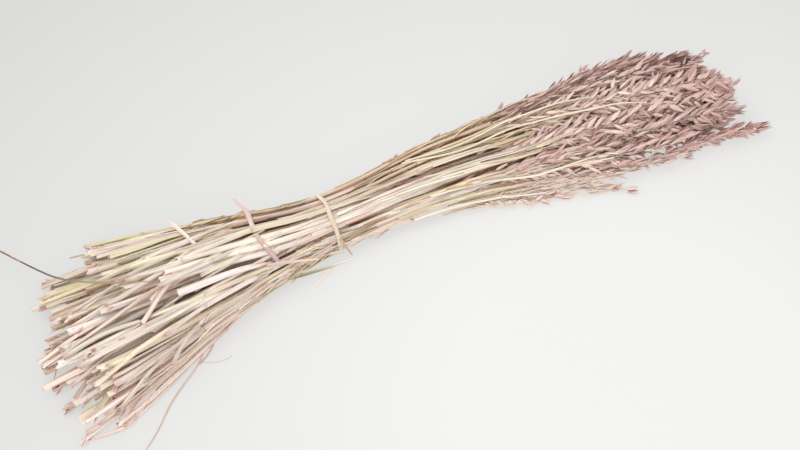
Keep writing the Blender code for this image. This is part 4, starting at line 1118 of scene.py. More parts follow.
def laid():
    """Straws that rest in the hollows of the fan and over its ridge."""
    rng = np.random.default_rng(61)
    for points, radius, tint in (
        ([(-207, -9, 45), (-166, -9, 43), (-124, -6, 32)], 2.9, lin(248, 240, 232)), ([(-242, -17, 39), (-188, -18, 41), (-119, -11, 33)], 2.2, lin(244, 234, 206)),
        ([(-244, -21, 42), (-228, -10, 48), (-209, 2, 51)], 1.9, lin(234, 210, 202)), ([(-314, -23, 40), (-277, -15, 38), (-239, -16, 35)], 2.3, lin(246, 238, 222)),
        ([(-292, -37, 46), (-238, -30, 45), (-169, -15, 37)], 2.2, lin(246, 240, 224)), ([(-295, -51, 30), (-243, -41, 42), (-178, -22, 35)], 2.1, lin(236, 224, 180)),
        ([(-286, -61, 22), (-244, -55, 34), (-196, -36, 28)], 2.0, lin(238, 216, 206)), ([(-288, -75, 16), (-251, -58, 29), (-212, -40, 29)], 2.0, lin(242, 228, 208)),
        ([(-236, -59, 24), (-217, -45, 32), (-180, -23, 29)], 1.7, lin(240, 220, 208)), ([(-238, 18, 49), (-207, 11, 55), (-163, 12, 51)], 1.8, lin(244, 232, 222)),
        ([(-233, -40, 42), (-198, -30, 41), (-137, -14, 33)], 2.0, lin(242, 228, 218)), ([(-303, 22, 26), (-271, 15, 33), (-228, 11, 37)], 2.0, lin(240, 230, 196)),
        ([(-330, -8, 22), (-290, -2, 31), (-246, -2, 35)], 1.8, lin(238, 220, 212)), ([(-316, -44, 27), (-276, -34, 36), (-226, -24, 36)], 1.9, lin(240, 220, 210)),
    ):
        path = curve(row(points), step=8.0)
        path[:, 1:] += np.stack([np.interp(np.linspace(0, 1, len(path)), np.linspace(0, 1, 4), rng.normal(0, 0.5, 4)) for _ in range(2)], 1)
        s = lengths(path)
        joints = [rng.uniform(25, 0.6 * s[-1])] if s[-1] > 60 and rng.random() < 0.6 else []
        dense = np.unique(np.round(np.concatenate([s] + [[j - 3, j - 1, j, j + 1, j + 3] for j in joints]), 2))
        dense = dense[(dense >= 0) & (dense <= s[-1])]
        dense = dense[np.concatenate([[True], np.diff(dense) > 0.5])]
        fine = np.stack([np.interp(dense, s, path[:, c]) for c in range(3)], 1)
        r = radius * (1 - 0.25 * dense / s[-1])
        shell = shells[owner(path[len(path) // 2])]
        seed = rng.uniform(0, 90)
        colour = 0.93 * tint[None] * np.interp(dense, np.linspace(0, s[-1], 6), rng.uniform(0.93, 1.04, 6))[:, None]
        culm(shell, fine, dense, r, colour, rng, np.array([seed, seed + 3, seed + 5]), joints)
        if rng.random() < 0.65:
            start = joints[0] + 1 if joints else -2.0
            sheath(shell, fine, dense, r, start, min(s[-1] - 4, start + rng.uniform(40, 90)), rng, seed + 7, mix(0.93 * tint, lin(240, 228, 220), 0.4), rng.uniform(0, 6.28), arc=(rng.uniform(4.4, 5.8), rng.uniform(2.4, 4.2)), out=(0.15, rng.uniform(0.3, 0.8)), torn=(1.5, 4.0))


def lay(x0, x1, phi0, phi1, half, tint, rng, clear=0.5, roll=0.0, tipped=(0, 1), cup=0.3, lift=(0, 0), mat=None, sway=0.0, taut=2):
    """One leaf along the outside of the bundle; lift is how far each end stands off."""
    path, outs = over(x0, x1, phi0, phi1, clear, taut=taut)
    if path is None:
        return
    run = unjumped(path)
    path, outs = path[run], outs[run]
    n = len(path)
    if n < 4:
        return
    f = np.linspace(0, 1, n)
    rise = lift[0] * np.clip(1 - f * 3, 0, 1) ** 2 + lift[1] * np.clip(f * 3 - 2, 0, 1) ** 2
    path = path + outs * rise[:, None]
    across = np.cross(unit(np.gradient(path, axis=0)), outs)
    path = path + across * (sway * np.interp(f, np.linspace(0, 1, 5), rng.normal(0, 1, 5)))[:, None]
    tint = np.asarray(tint)
    leaf(shells[owner(path[n // 2])], path, outs, half, tint, rng, rng.uniform(0, 90), roll=roll, cup=cup, tipped=tipped, mat=mat)


def dress():
    rng = np.random.default_rng(77)
    # over the fan
    for k in range(34):
        x0 = rng.uniform(-318, -190)
        x1 = x0 + rng.uniform(80, 190)
        phi = rng.uniform(-1.5, 1.1) if k < 16 else rng.uniform(-1.8, -0.5)
        y = 20 + 55 * math.sin(phi)
        lay(x0, min(x1, -70), phi, phi + rng.normal(0, 0.08), rng.uniform(1.0, 2.4), warm(y, rng, 0.12 * rng.random()), rng, clear=rng.uniform(-0.4, 0.2), roll=rng.normal(0, 0.3),
            tipped=(rng.uniform(0, 0.5), rng.uniform(0.3, 0.9)), cup=rng.uniform(0.3, 0.8), lift=(rng.exponential(1.0), rng.exponential(0.4)), mat=M_SHEATH if rng.random() < 0.5 else M_LEAF, sway=0.2)
    # pale straws and sheaths down the near flank, where the fan opens from the waist
    for k in range(20):
        x0 = rng.uniform(-236, -150)
        phi = rng.uniform(-1.75, -0.75)
        lay(x0, x0 + rng.uniform(60, 120), phi, phi + rng.normal(0, 0.07), rng.uniform(0.8, 1.9), mix(mix(CREAM, lin(244, 228, 218), rng.random()), lin(228, 214, 176), 0.5 * rng.random() ** 2) * rng.uniform(0.95, 1.04), rng, clear=rng.uniform(0.0, 0.4), roll=rng.normal(0, 0.3),
            tipped=(rng.uniform(0, 0.5), rng.uniform(0.4, 0.9)), cup=rng.uniform(0.3, 0.8), lift=(rng.exponential(0.8), 0), mat=M_SHEATH if rng.random() < 0.6 else M_LEAF, sway=0.2)
    # reddish-brown edges sunk in the gaps of the fan: painted warm shade between the straws
    for _ in range(40):
        x0 = rng.uniform(-278, -150)
        phi = rng.uniform(-1.7, 0.7)
        lay(x0, x0 + rng.uniform(40, 110), phi, phi + rng.normal(0, 0.07), rng.uniform(0.4, 1.0), mix(lin(194, 138, 106), lin(224, 182, 156), rng.random()), rng, clear=rng.uniform(-1.6, -0.4), roll=rng.normal(0, 0.5),
            tipped=(rng.uniform(0.4, 1), rng.uniform(0.5, 1)), cup=rng.uniform(0.3, 0.8), sway=0.3)
    # ragged pieces down the near side between the fan and the tie
    for _ in range(28):
        x0 = rng.uniform(-168, -72)
        phi = rng.uniform(-2.0, -0.95)
        k = rng.random()
        tint = mix(lin(240, 220, 210), lin(218, 184, 172), rng.random()) if k < 0.5 else mix(lin(214, 202, 160), lin(184, 170, 128), rng.random()) if k < 0.8 else lin(178, 136, 108)
        lay(x0, x0 + rng.uniform(18, 60), phi, phi + rng.normal(0.05, 0.2), rng.uniform(0.6, 1.8), tint, rng, clear=rng.uniform(0.1, 0.6), roll=rng.normal(0, 0.9),
            tipped=(rng.uniform(0.2, 1), rng.uniform(0.4, 1)), cup=rng.uniform(0.3, 1.0), lift=(rng.exponential(1.3), rng.exponential(0.7)), sway=0.4)
    for _ in range(13):
        x0 = rng.uniform(-150, -104)
        phi = -1.9 + rng.normal(0, 0.12)
        lay(x0, x0 + rng.uniform(36, 62), phi, phi + rng.uniform(0.4, 0.95), rng.uniform(0.8, 1.9), mix(lin(242, 222, 212), lin(206, 172, 156), rng.random()) if rng.random() < 0.7 else lin(212, 200, 158), rng, clear=rng.uniform(0.2, 0.7), roll=rng.normal(0, 1.4),
            tipped=(rng.uniform(0.2, 0.9), rng.uniform(0.4, 1)), cup=rng.uniform(0.3, 1.0), lift=(rng.exponential(1.0), rng.exponential(1.2)), sway=0.4)
    # thin edges of sheaths and split straws along the neck
    for _ in range(130):
        x0 = rng.uniform(-70, 150)
        phi = rng.uniform(-1.75, 1.35)
        k = rng.random()
        tint = mix(lin(250, 244, 228), lin(240, 226, 196), rng.random()) if k < 0.33 else mix(lin(238, 212, 202), lin(222, 188, 176), rng.random()) if k < 0.68 else mix(lin(170, 124, 98), lin(204, 158, 134), rng.random())
        lay(x0, min(x0 + rng.uniform(40, 120), 196), phi, phi + rng.normal(0, 0.035), rng.uniform(0.3, 0.85), tint, rng, clear=rng.uniform(-0.4, 0.3), roll=rng.normal(0, 0.4),
            tipped=(0.8, 1), cup=0.3, lift=(rng.exponential(0.1), rng.exponential(0.35)), sway=0.25, taut=3)
    # through the tie and over the neck
    for _ in range(106):
        x0 = rng.uniform(-118, 96)
        x1 = x0 + rng.uniform(90, 210)
        phi = rng.uniform(-1.7, 1.45)
        k = rng.random()
        straw = float(smooth((x0 - 10) / 70.0)) * rng.uniform(0.2, 1.0)
        if phi > 0.55:
            tint = mix(lin(238, 216, 198), lin(222, 198, 154), rng.random())
        elif phi > 0.0:
            tint = mix(lin(244, 226, 214), lin(236, 218, 184), rng.random()) if k < 0.75 else lin(214, 196, 152)
        elif phi > -0.8:
            tint = mix(lin(250, 244, 228), lin(244, 228, 212), rng.random()) if k < 0.8 else lin(230, 200, 180)
        else:
            tint = mix(lin(252, 246, 232), lin(246, 230, 214), rng.random()) if k < 0.8 else lin(230, 200, 184)
        tint = mix(tint, lin(232, 212, 160), 0.6 * straw)
        if x0 < X_TIE < x1 and rng.random() < 0.4:
            x0 = X_TIE + 6
        half = rng.uniform(1.0, 2.3)
        if x0 > 20:
            half *= 0.75
        lay(x0, min(x1, 190), phi, phi + rng.normal(0, 0.03), half, tint * rng.uniform(0.9, 1.03), rng, clear=rng.uniform(-0.5, 0.15), roll=rng.normal(0, 0.25),
            tipped=(rng.uniform(0.1, 0.6), rng.uniform(0.5, 1)), cup=rng.uniform(-0.3, 0.5), lift=(rng.exponential(0.15), rng.exponential(0.4)), sway=0.15, taut=4)
    # dark brown leaves that fill the middle of the neck where it opens into the heads: painted shade inside the bundle
    # there
    for _ in range(34):
        x0 = rng.uniform(44, 100)
        x1 = x0 + rng.uniform(40, 70)
        xs = np.linspace(x0, x1, 9)
        mids = np.array([centre(x) for x in xs])
        wide = np.interp(xs, GRID_X, EXT[:, 1] - EXT[:, 0])
        path = np.column_stack([xs, mids[:, 0] + rng.uniform(-0.36, 0.36) * wide, mids[:, 1] + rng.uniform(-9, 2)])
        path[:, 2] = np.maximum(path[:, 2], 1.5)
        leaf(shells[owner(path[4])], path, np.tile([0, -0.3, 1.0], (9, 1)), rng.uniform(1.8, 3.2), mix(lin(176, 130, 98), lin(196, 150, 134), rng.random()), rng, rng.uniform(0, 90), tipped=(0.4, 0.6), cup=0.2, mat=M_LEAF)
    # short reddish-brown and buff pieces sunk in the gaps of the neck: painted warm shade between the straws
    for _ in range(84):
        x0 = rng.uniform(-20, 150)
        phi = rng.uniform(-1.5, 1.2)
        lay(x0, x0 + rng.uniform(25, 70), phi, phi + rng.normal(0, 0.05), rng.uniform(0.5, 1.3), mix(lin(212, 160, 132), lin(232, 196, 164), rng.random()) * rng.uniform(0.9, 1.05), rng, clear=rng.uniform(-1.6, 0.0), roll=rng.normal(0, 0.5),
            tipped=(rng.uniform(0.4, 1), rng.uniform(0.6, 1)), cup=rng.uniform(0.2, 0.8), lift=(0, rng.exponential(0.8)), sway=0.2, taut=3)
    # a few broken bits that lie across
    for _ in range(5):
        x = rng.uniform(-290, -150)
        phi = rng.uniform(-1.1, 0.8)
        lay(x, x + rng.uniform(14, 30), phi, phi + rng.choice([-1, 1]) * rng.uniform(0.05, 0.2), rng.uniform(0.8, 1.5), warm(20 + 55 * math.sin(phi), rng, 0.2 * rng.random()), rng, clear=rng.uniform(0.2, 1.0), roll=rng.normal(0, 0.6),
            tipped=(rng.uniform(0, 1), rng.uniform(0.3, 1)), cup=rng.uniform(0.3, 1.0), lift=(rng.exponential(1.0), rng.exponential(1.0)), mat=M_SHEATH)
    # brown ragged leaf along the far edge between fan and tie, and tips that stand off the far edge of the neck
    for _ in range(16):
        x0 = rng.uniform(-196, -96)
        phi = rng.uniform(0.85, 1.25)
        lay(x0, x0 + rng.uniform(18, 55), phi, phi + rng.normal(0, 0.06), rng.uniform(0.6, 1.6), mix(lin(164, 132, 100), lin(204, 182, 148), rng.random()), rng, clear=rng.uniform(-0.2, 0.4), roll=rng.normal(0, 0.9),
            tipped=(rng.uniform(0.3, 1), rng.uniform(0.3, 1)), cup=rng.uniform(0.3, 1.0), lift=(rng.exponential(0.5), rng.exponential(0.2)), sway=0.4)
    for _ in range(24):
        x0 = rng.uniform(-10, 110)
        phi = rng.uniform(0.85, 1.15)
        lay(x0, x0 + rng.uniform(30, 75), phi, phi + rng.uniform(0.0, 0.12), rng.uniform(0.3, 0.8), mix(lin(176, 140, 116), lin(214, 196, 150), rng.random()), rng, clear=rng.uniform(0.0, 0.4), roll=rng.normal(0, 0.6),
            tipped=(0.8, 1), cup=0.4, lift=(0, rng.uniform(1.0, 4.0)), sway=0.3)


def placed(points, half, tint, rng, clear=0.0, up=(0, 0, 1), roll=0.0, tipped=(0.3, 0.8), cup=0.3, mat=None, count=None, thick=0.2):
    """One leaf along given points."""
    path = curve(row(points), step=5.0) if count is None else curve(row(points), count=count)
    leaf(shells[owner(path[len(path) // 2])], path, np.tile(np.asarray(up, float), (len(path), 1)), half, np.asarray(tint), rng, rng.uniform(0, 90), roll=roll, cup=cup, tipped=tipped, mat=mat, thick=thick)


def accents():
    """The loose ends that catch the eye."""
    rng = np.random.default_rng(9)
    for path, radius, tint in RIDERS:
        tube(shells[owner(path[len(path) // 3])], path, radius, 6, M_STRAW, tint, rng.uniform(0, 90))
    # the wide greyish blade on the far side of the neck
    (xa, ya, za), (xb, yb, zb) = row([(24, 36, 36)])[0], row([(86, 28, 44)])[0]
    lay(xa, xb + 10, phi_of(xa, ya, za), phi_of(xb, yb, zb), 3.0, lin(186, 180, 150), rng, clear=0.4, tipped=(0.8, 0.9), cup=0.2, taut=5)
    lay(xa + 14, xb + 50, phi_of(xa, ya, za) - 0.12, phi_of(xb, yb, zb) - 0.1, 1.6, lin(208, 200, 166), rng, clear=0.4, tipped=(0.8, 0.9), cup=0.2, taut=5)
    # wide papery sheaths at the far end of the fan, and greenish blades at its near edge by the waist
    for y, z, x0, tint, half in ((71, 28, -262, lin(226, 218, 190), 2.3), (64, 30, -258, lin(232, 214, 204), 2.0), (58, 33, -248, lin(224, 216, 180), 2.4), (76, 24, -266, lin(230, 222, 200), 1.7)):
        placed([(x0, y, z), (x0 + 28, y - 3.5 + rng.normal(0, 1), z + 2), (x0 + 55, y - 7 + rng.normal(0, 1), z + 4), (x0 + 85, y - 12, z + 5)], half, tint, rng, tipped=(0.1, 0.8), cup=0.7, mat=M_SHEATH, roll=rng.normal(0, 0.5))
    for _ in range(7):
        x0 = rng.uniform(-190, -140)
        lay(x0, x0 + rng.uniform(50, 90), -1.75 + rng.uniform(-0.15, 0.4), -1.75 + rng.uniform(-0.15, 0.4), rng.uniform(0.7, 1.5), mix(lin(198, 190, 150), lin(226, 214, 180), rng.random()), rng, clear=rng.uniform(0, 0.3), roll=rng.normal(0, 0.5), tipped=(0.7, 0.8), cup=0.4)
    # strips drawn across the fan
    placed([(-191, 68, 41), (-187, 56, 42), (-182.5, 41, 44.5), (-179.5, 28, 47.5), (-178, 20, 48.5)], 1.7, lin(242, 222, 212), rng, tipped=(0.85, 0.1), cup=0.2, up=(0, 0.1, 1))
    placed([(-232, -5, 43), (-224, -1, 45), (-216, 3.5, 46), (-209, 9, 45.5)], 1.5, lin(242, 224, 210), rng, tipped=(0.2, 0.3), cup=0.5, up=(0, 0, 1))
    placed([(-131, -12, 38), (-118, -15, 37), (-103, -18.5, 35), (-88, -22, 32.5)], 1.5, lin(228, 200, 192), rng, tipped=(0.2, 0.6), cup=0.5, up=(0, -0.4, 1))
    placed([(-260, -66, 5), (-272, -75, 3), (-285, -83, 2), (-303, -83, 1.2), (-321, -80, 1.0)], 1.5, lin(232, 208, 196), rng, tipped=(0.4, 0.1), cup=0.3, mat=M_SHEATH)
    placed([(-262, -62, 9), (-276, -70, 5), (-290, -79, 2)], 1.4, lin(226, 192, 176), rng, tipped=(0.3, 0.7), cup=0.4, mat=M_SHEATH)
    # a curl of dead leaf at the top edge, a torn tuft at the near edge and a stray grain by the neck
    mid, d, t = around(row([(-92, 0, 0)])[0][0], 1.02, 0.3)
    edge = np.array([row([(-92, 0, 0)])[0][0], *(mid + d * t)]) + SHIFT
    placed([edge + v for v in ((-7, 0, 0), (-4, 1.5, 1), (-1, 2, 2.2), (1.5, 0.5, 2.4), (0.5, -1, 1.4), (-1.5, 0, 1))], 0.45, lin(112, 92, 76), rng, tipped=(0.2, 0.2), count=12)
    placed([edge + v for v in ((-1, 0.5, 0.5), (2, 2, 1.8), (4.5, 0.5, 1.2), (3, -1, 0.5))], 0.4, lin(96, 78, 62), rng, tipped=(0.2, 0.2), count=9)
    for _ in range(8):
        x = row([(rng.uniform(-42, -6), 0, 0)])[0][0]
        mid, d, t = around(x, -2.0 + rng.uniform(-0.1, 0.3), 0.1)
        p = np.array([x, *(mid + d * t)]) + SHIFT
        drop = rng.uniform(1.0, 3.5)
        placed([p + (10, 1.5, 2), p, p + (-8, -0.6 * drop, -0.5 * drop), p + (-14, -drop, -drop)], rng.uniform(0.3, 0.8), mix(lin(196, 156, 122), lin(226, 200, 180), rng.random()), rng, up=(0, -1, 0.6), roll=rng.normal(0, 1), tipped=(0.3, 0.8))
    stem = curve(row([(292, 24, 34), (312, 26, 33.5), (327, 30, 32), (338, 36, 30)]), count=9)
    shell = shells[owner(stem[0])]
    tube(shell, stem, np.linspace(0.6, 0.25, 9), 4, M_STRAW, lin(190, 150, 138), 3.0)
    for k in range(15):
        root = stem[int(rng.integers(2, 8))]
        at = root + np.array([3.0, 0, 0]) + rng.normal(0, 1.6, 3)
        branch(shell, [root, 0.5 * (root + at) + np.array([0, 0, 0.5]), at + np.array([0.6, 0, 0])], 0.35, 0.22, lin(190, 150, 138), rng.uniform(0, 90))
        spikelet(shell, at, (1.0, rng.normal(0.2, 0.75), rng.normal(0, 0.4)), (0, rng.normal(0, 0.5), 1), rng.uniform(7.5, 11), rng.uniform(2.4, 3.2), rng.uniform(0.1, 0.5), rng, PETAL_DEEP * rng.uniform(0.8, 1.05))
    for at, turn in (((222, 66, 27), 0.9), ((226, 69, 27), 0.3), ((130, 59, 30), 0.5)):
        at = row([at])[0]
        back = at + np.array([-22, -9, 2])
        branch(shells[owner(back)], [back, 0.5 * (at + back), at], 0.4, 0.25, lin(196, 158, 142), rng.uniform(0, 90))
        spikelet(shells[owner(back)], at, (math.cos(turn), math.sin(turn), 0.05), (0, 0.2, 1), 10.0, 3.0, 0.35, rng, PETAL_DEEP)
    mid, d, t = around(row([(2, 0, 0)])[0][0], 1.04, -0.2)
    at = np.array([row([(2, 0, 0)])[0][0], *(mid + d * t)])
    for turn, size in ((1.1, 8.0), (0.5, 7.0)):
        spikelet(shells[owner(at)], at, (math.cos(turn), math.sin(turn), 0.5), (0, 0.2, 1), size, 2.6, 0.25, rng, PETAL_DEEP)
    for _ in range(14):
        x = row([(rng.uniform(8, 104), 0, 0)])[0][0]
        mid, d, t = around(x, rng.uniform(0.95, 1.1), 0.0)
        at = np.array([x, *(mid + d * t)])
        spikelet(shells[owner(at)], at, (1.0, rng.uniform(0.1, 0.5), rng.uniform(0, 0.35)), (0, 0.2, 1), rng.uniform(7, 11), 2.4, 0.15, rng, mix(PETAL_DEEP, lin(176, 138, 112), rng.random()))
    for x, y, z, tint, half, long in ((-306, -62, 7, lin(236, 226, 196), 2.6, 62), (-300, -69, 6, lin(236, 216, 204), 2.2, 70), (-312, -54, 9, lin(232, 214, 186), 2.4, 66), (-292, -76, 5, lin(234, 212, 200), 1.6, 74), (-286, -58, 10, lin(238, 230, 206), 2.8, 60), (-318, -46, 11, lin(228, 200, 184), 2.0, 60), (-298, -50, 13, lin(236, 220, 206), 2.4, 66)):
        placed([(x, y, z), (x + 0.3 * long, y + 0.20 * long, z + 1.5), (x + 0.65 * long, y + 0.42 * long, z + 3), (x + long, y + 0.62 * long, z + 3)], half, tint, rng, tipped=(0.15, 0.7), cup=0.7, mat=M_SHEATH, roll=rng.normal(0, 0.5), up=(0, -0.35, 1))
    # flat straws between the neck and the ones that part from it on the near side
    for _ in range(26):
        x0, long, share = rng.uniform(30, 96), rng.uniform(36, 74), rng.uniform(0.05, 0.95)
        way = []
        for x in np.linspace(x0, x0 + long, 5):
            x = row([(x, 0, 0)])[0][0]
            around_x = SECTIONS[int(np.clip(round((x - GRID_X[0]) / 6.0), 0, len(GRID_X) - 1))]
            outer = around_x[np.argmin(around_x[:, 0]), :2]
            mid, d, t = around(x, -1.2, 0.0)
            yz = outer * (1 - share) + (mid + d * t) * share
            way.append((x, yz[0], max(1.5, min(yz[1], 3 + 11 * share))))
        path = curve(way, step=6.0)
        leaf(shells[owner(path[len(path) // 2])], path, np.tile([0, -0.4, 1.0], (len(path), 1)), rng.uniform(0.6, 1.7), mix(lin(246, 234, 208), lin(220, 186, 168), rng.random()), rng, rng.uniform(0, 90), roll=rng.normal(0, 0.4), tipped=(0.4, 0.9), cup=0.3)
    # the ends of the heads inside, seen end on, darkened and reddened as painted shade
    for name in stalk_names:
        mids, _ = LINES[name]
        tip_, out = mids[-1] - np.array([8.0, 0, 0]), outward_at(mids[-1:])[0]
        if tip_[0] < 235 or depth_under(tip_, out) < 9:
            continue
        for _ in range(6):
            at = tip_ + np.array([rng.uniform(-14, 4), 0, 0]) + np.array([0, 1.0, 0]) * rng.normal(0, 4.0) + np.array([0, 0, 1.0]) * rng.normal(0, 3.0)
            at[2] = max(at[2], 2.5)
            branch(shells[name], [tip_ - np.array([26, 0, 0]), 0.5 * (tip_ - np.array([22, 0, 0]) + at), at], 0.4, 0.25, lin(190, 146, 132), rng.uniform(0, 90))
            spikelet(shells[name], at, (1.0, rng.normal(0, 0.45), rng.normal(0, 0.45)), (0, rng.normal(0, 1), 1), rng.uniform(11, 14.5), rng.uniform(3.0, 4.0), rng.uniform(0.06, 0.35), rng, mix(PETAL, PETAL_DEEP, rng.uniform(0.2, 1.0)) * np.array([0.92, 0.84, 0.83]), True)
    # spikelets between the heads and the one that reaches furthest, darkened and reddened a little as painted shade
    for _ in range(46):
        f, g = rng.random(), rng.random()
        inner, outer = np.array([238 + 86 * f, -15 - 14 * f, 14.0]), np.array([240 + 88 * f, -27 - 13 * f, 8.0])
        at = row([inner * (1 - g) + outer * g])[0] + rng.normal(0, 1.0, 3)
        at[2] = max(at[2], 2.0)
        back = at + np.array([-rng.uniform(14, 26), rng.uniform(0, 4), rng.uniform(-1, 2)])
        shell = shells[owner(back)]
        branch(shell, [back, 0.5 * (at + back), at], 0.4, 0.25, lin(196, 152, 138), rng.uniform(0, 90))
        spikelet(shell, at, (1.0, rng.normal(-0.15, 0.35), rng.normal(0.02, 0.2)), (0, -0.4, 1), rng.uniform(10.5, 14.5), rng.uniform(3.0, 4.0), rng.uniform(0.06, 0.35), rng, mix(PETAL, PETAL_DEEP, rng.uniform(0.3, 1.0)) * np.array([0.93, 0.87, 0.86]) * rng.uniform(0.9, 1.05))
    # small spikelets on hair-thin branches along the near edge, under the pale straws
    for _ in range(46):
        x = row([(rng.uniform(66, 150), 0, 0)])[0][0]
        mid, d, t = around(x, rng.uniform(-2.1, -0.9), 0.0)
        at = np.array([x, *(mid + d * (t - rng.uniform(0, 2)))])
        at[2] = max(at[2], 2.0)
        back = at + np.array([-rng.uniform(12, 28), rng.uniform(0, 3), rng.uniform(0, 3)])
        shell = shells[owner(at)]
        branch(shell, [back, 0.5 * (at + back) + d[0] * np.array([0, 1.0, 0]), at], 0.4, 0.25, lin(238, 222, 198), rng.uniform(0, 90))
        spikelet(shell, at, (1.0, rng.normal(-0.12, 0.3), rng.normal(0.05, 0.2)), (0, d[0], d[1] + 0.6), rng.uniform(8.5, 13), rng.uniform(2.6, 3.4), rng.uniform(0.06, 0.35), rng, mix(mix(PETAL, PETAL_PALE, rng.random()), HUSK, rng.uniform(0, 0.6)))
    for k in range(96):
        x = row([(rng.uniform(84, 192), 0, 0)])[0][0]
        around_x = SECTIONS[int(np.clip(round((x - GRID_X[0]) / 6.0), 0, len(GRID_X) - 1))]
        outer = around_x[np.argmin(around_x[:, 0]), :2]
        mid, d, t = around(x, -1.15, 0.0)
        share = rng.uniform(-0.05, 0.9)
        yz = outer * (1 - share) + (mid + d * t) * share
        at = np.array([x, yz[0], max(2.0, min(yz[1], 3 + 11 * share) + rng.normal(0, 1.2))])
        back = at + np.array([-rng.uniform(14, 34), rng.uniform(1, 5), rng.uniform(-0.5, 2)])
        shell = shells[owner(at)]
        branch(shell, [back, 0.5 * (at + back) + np.array([0, rng.normal(0, 0.6), 0.5]), at], 0.45, 0.25, mix(lin(240, 224, 194), PETAL, rng.random()), rng.uniform(0, 90))
        spikelet(shell, at, (1.0, rng.normal(-0.22, 0.32), rng.normal(0.02, 0.2)), (0, -0.5, 1), rng.uniform(10, 14.5), rng.uniform(2.6, 3.6), rng.uniform(0.05, 0.4), rng, mix(mix(PETAL, PETAL_DEEP, rng.uniform(0.1, 0.9)), HUSK, rng.uniform(0, 0.3)))


fill_fan()
crossing()
laid()
dress()
accents()

total = 0
for name in stalk_names:
    shell = shells[name]
    total += sum(int((z - 2).sum()) for z in shell.sizes)
    obj = shell.build(name.replace("oat_stalk", "oat_plant"), PLANT)
    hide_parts(name)
    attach(obj, "root")
print("spikelets", spikelets, "triangles in stalks", total)


# ---------------------------------------------------------------- the tie
def hull(points):
    pts = sorted(set((round(float(a), 4), round(float(b), 4)) for a, b in points))

    def half(run):
        out = []
        for p in run:
            while len(out) > 1 and (out[-1][0] - out[-2][0]) * (p[1] - out[-2][1]) - (out[-1][1] - out[-2][1]) * (p[0] - out[-2][0]) <= 0:
                out.pop()
            out.append(p)
        return out[:-1]

    return half(pts) + half(pts[::-1])


def tie():
    cloud = []
    for x in (X_TIE - 2.6, X_TIE, X_TIE + 2.6):
        for y, z, r in sections(x):
            for a in np.linspace(0, 2 * math.pi, 28, endpoint=False):
                cloud.append((y + (r + 0.35) * math.cos(a), max(z + (r + 0.35) * math.sin(a), 0.6)))
    loop = hull(cloud)
    loop = np.array(loop + [loop[0]])
    run = lengths(loop)
    n = 132
    q = np.linspace(0, run[-1], n, endpoint=False)
    y, z = np.interp(q, run, loop[:, 0]), np.interp(q, run, loop[:, 1])
    rng = np.random.default_rng(5)
    for _ in range(3):
        y = 0.25 * np.roll(y, 1) + 0.5 * y + 0.25 * np.roll(y, -1)
        z = 0.25 * np.roll(z, 1) + 0.5 * z + 0.25 * np.roll(z, -1)
    ty, tz = np.roll(y, -1) - np.roll(y, 1), np.roll(z, -1) - np.roll(z, 1)
    ln = np.hypot(ty, tz)
    ny, nz = tz / ln, -ty / ln
    sway = 0.5 * np.sin(q / run[-1] * 2 * math.pi * 2 + 0.7) + 0.35 * np.sin(q / run[-1] * 2 * math.pi * 5)
    cols = np.array([-1, -0.6, -0.2, 0.2, 0.6, 1])
    half, thick = 1.85, 0.55
    rise = 0.12 * np.cos(cols * math.pi * 2)[None] - 0.15 * (abs(cols) > 0.9)[None]
    wide = half * (1 + 0.05 * np.sin(q / 4.3))[:, None]
    rings = []
    for k, lay in ((thick, cols), (0.0, cols[::-1])):
        up = (k + (rise if k else 0 * rise)) + 0.25
        x = X_TIE + sway[:, None] + wide * lay[None]
        rings.append(np.stack([x, y[:, None] + ny[:, None] * up, np.maximum(z[:, None] + nz[:, None] * up, 0.25)], -1))
    rings = np.concatenate(rings, 1)
    shell = Shell()
    tint = mix(lin(236, 224, 202), lin(222, 202, 178), np.clip(0.5 + 0.5 * np.sin(q / 17.0 + 1) + rng.normal(0, 0.1, n), 0, 1))
    grain = np.stack([np.broadcast_to((q * 0.03)[:, None], (n, 12)), np.broadcast_to(np.concatenate([cols, cols[::-1]])[None] * 2.3, (n, 12)), np.broadcast_to(np.repeat([0.0, 4.0], 6)[None], (n, 12))], -1)
    add_loft(shell, rings, 0, tint[:, None], grain, loop=True)
    # the band's thin brown end hangs from the near side to the floor
    k = int(np.argmin(y - 0.25 * z))
    way = curve([(X_TIE + 0.5, y[k] + 0.2, z[k] + 4), (X_TIE + 2.0, y[k] - 1.2, z[k] + 0.5), (X_TIE + 5.5, y[k] - 2.4, 0.55 * z[k]), (X_TIE + 9.5, y[k] - 3.6, 1.0)], count=10)
    strip(shell, way, [1.3, 1.2, 1.1, 1.0, 0.95, 0.9, 0.85, 0.8, 0.7, 0.5], (0.2, -1, 0.5), 0, lin(214, 184, 156), 3.0, cup=0.25)
    obj = shell.build("flat_band_tie", [BAND])
    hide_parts("tie_band")
    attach(obj, "root")


tie()


# ---------------------------------------------------------------- loose leaves
def loose(name, cad, make):
    shell = Shell()
    make(shell, np.random.default_rng(sum(map(ord, name))))
    obj = shell.build(name, [STRAW, SHEATH, LEAF])
    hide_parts(cad)
    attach(obj, "root")


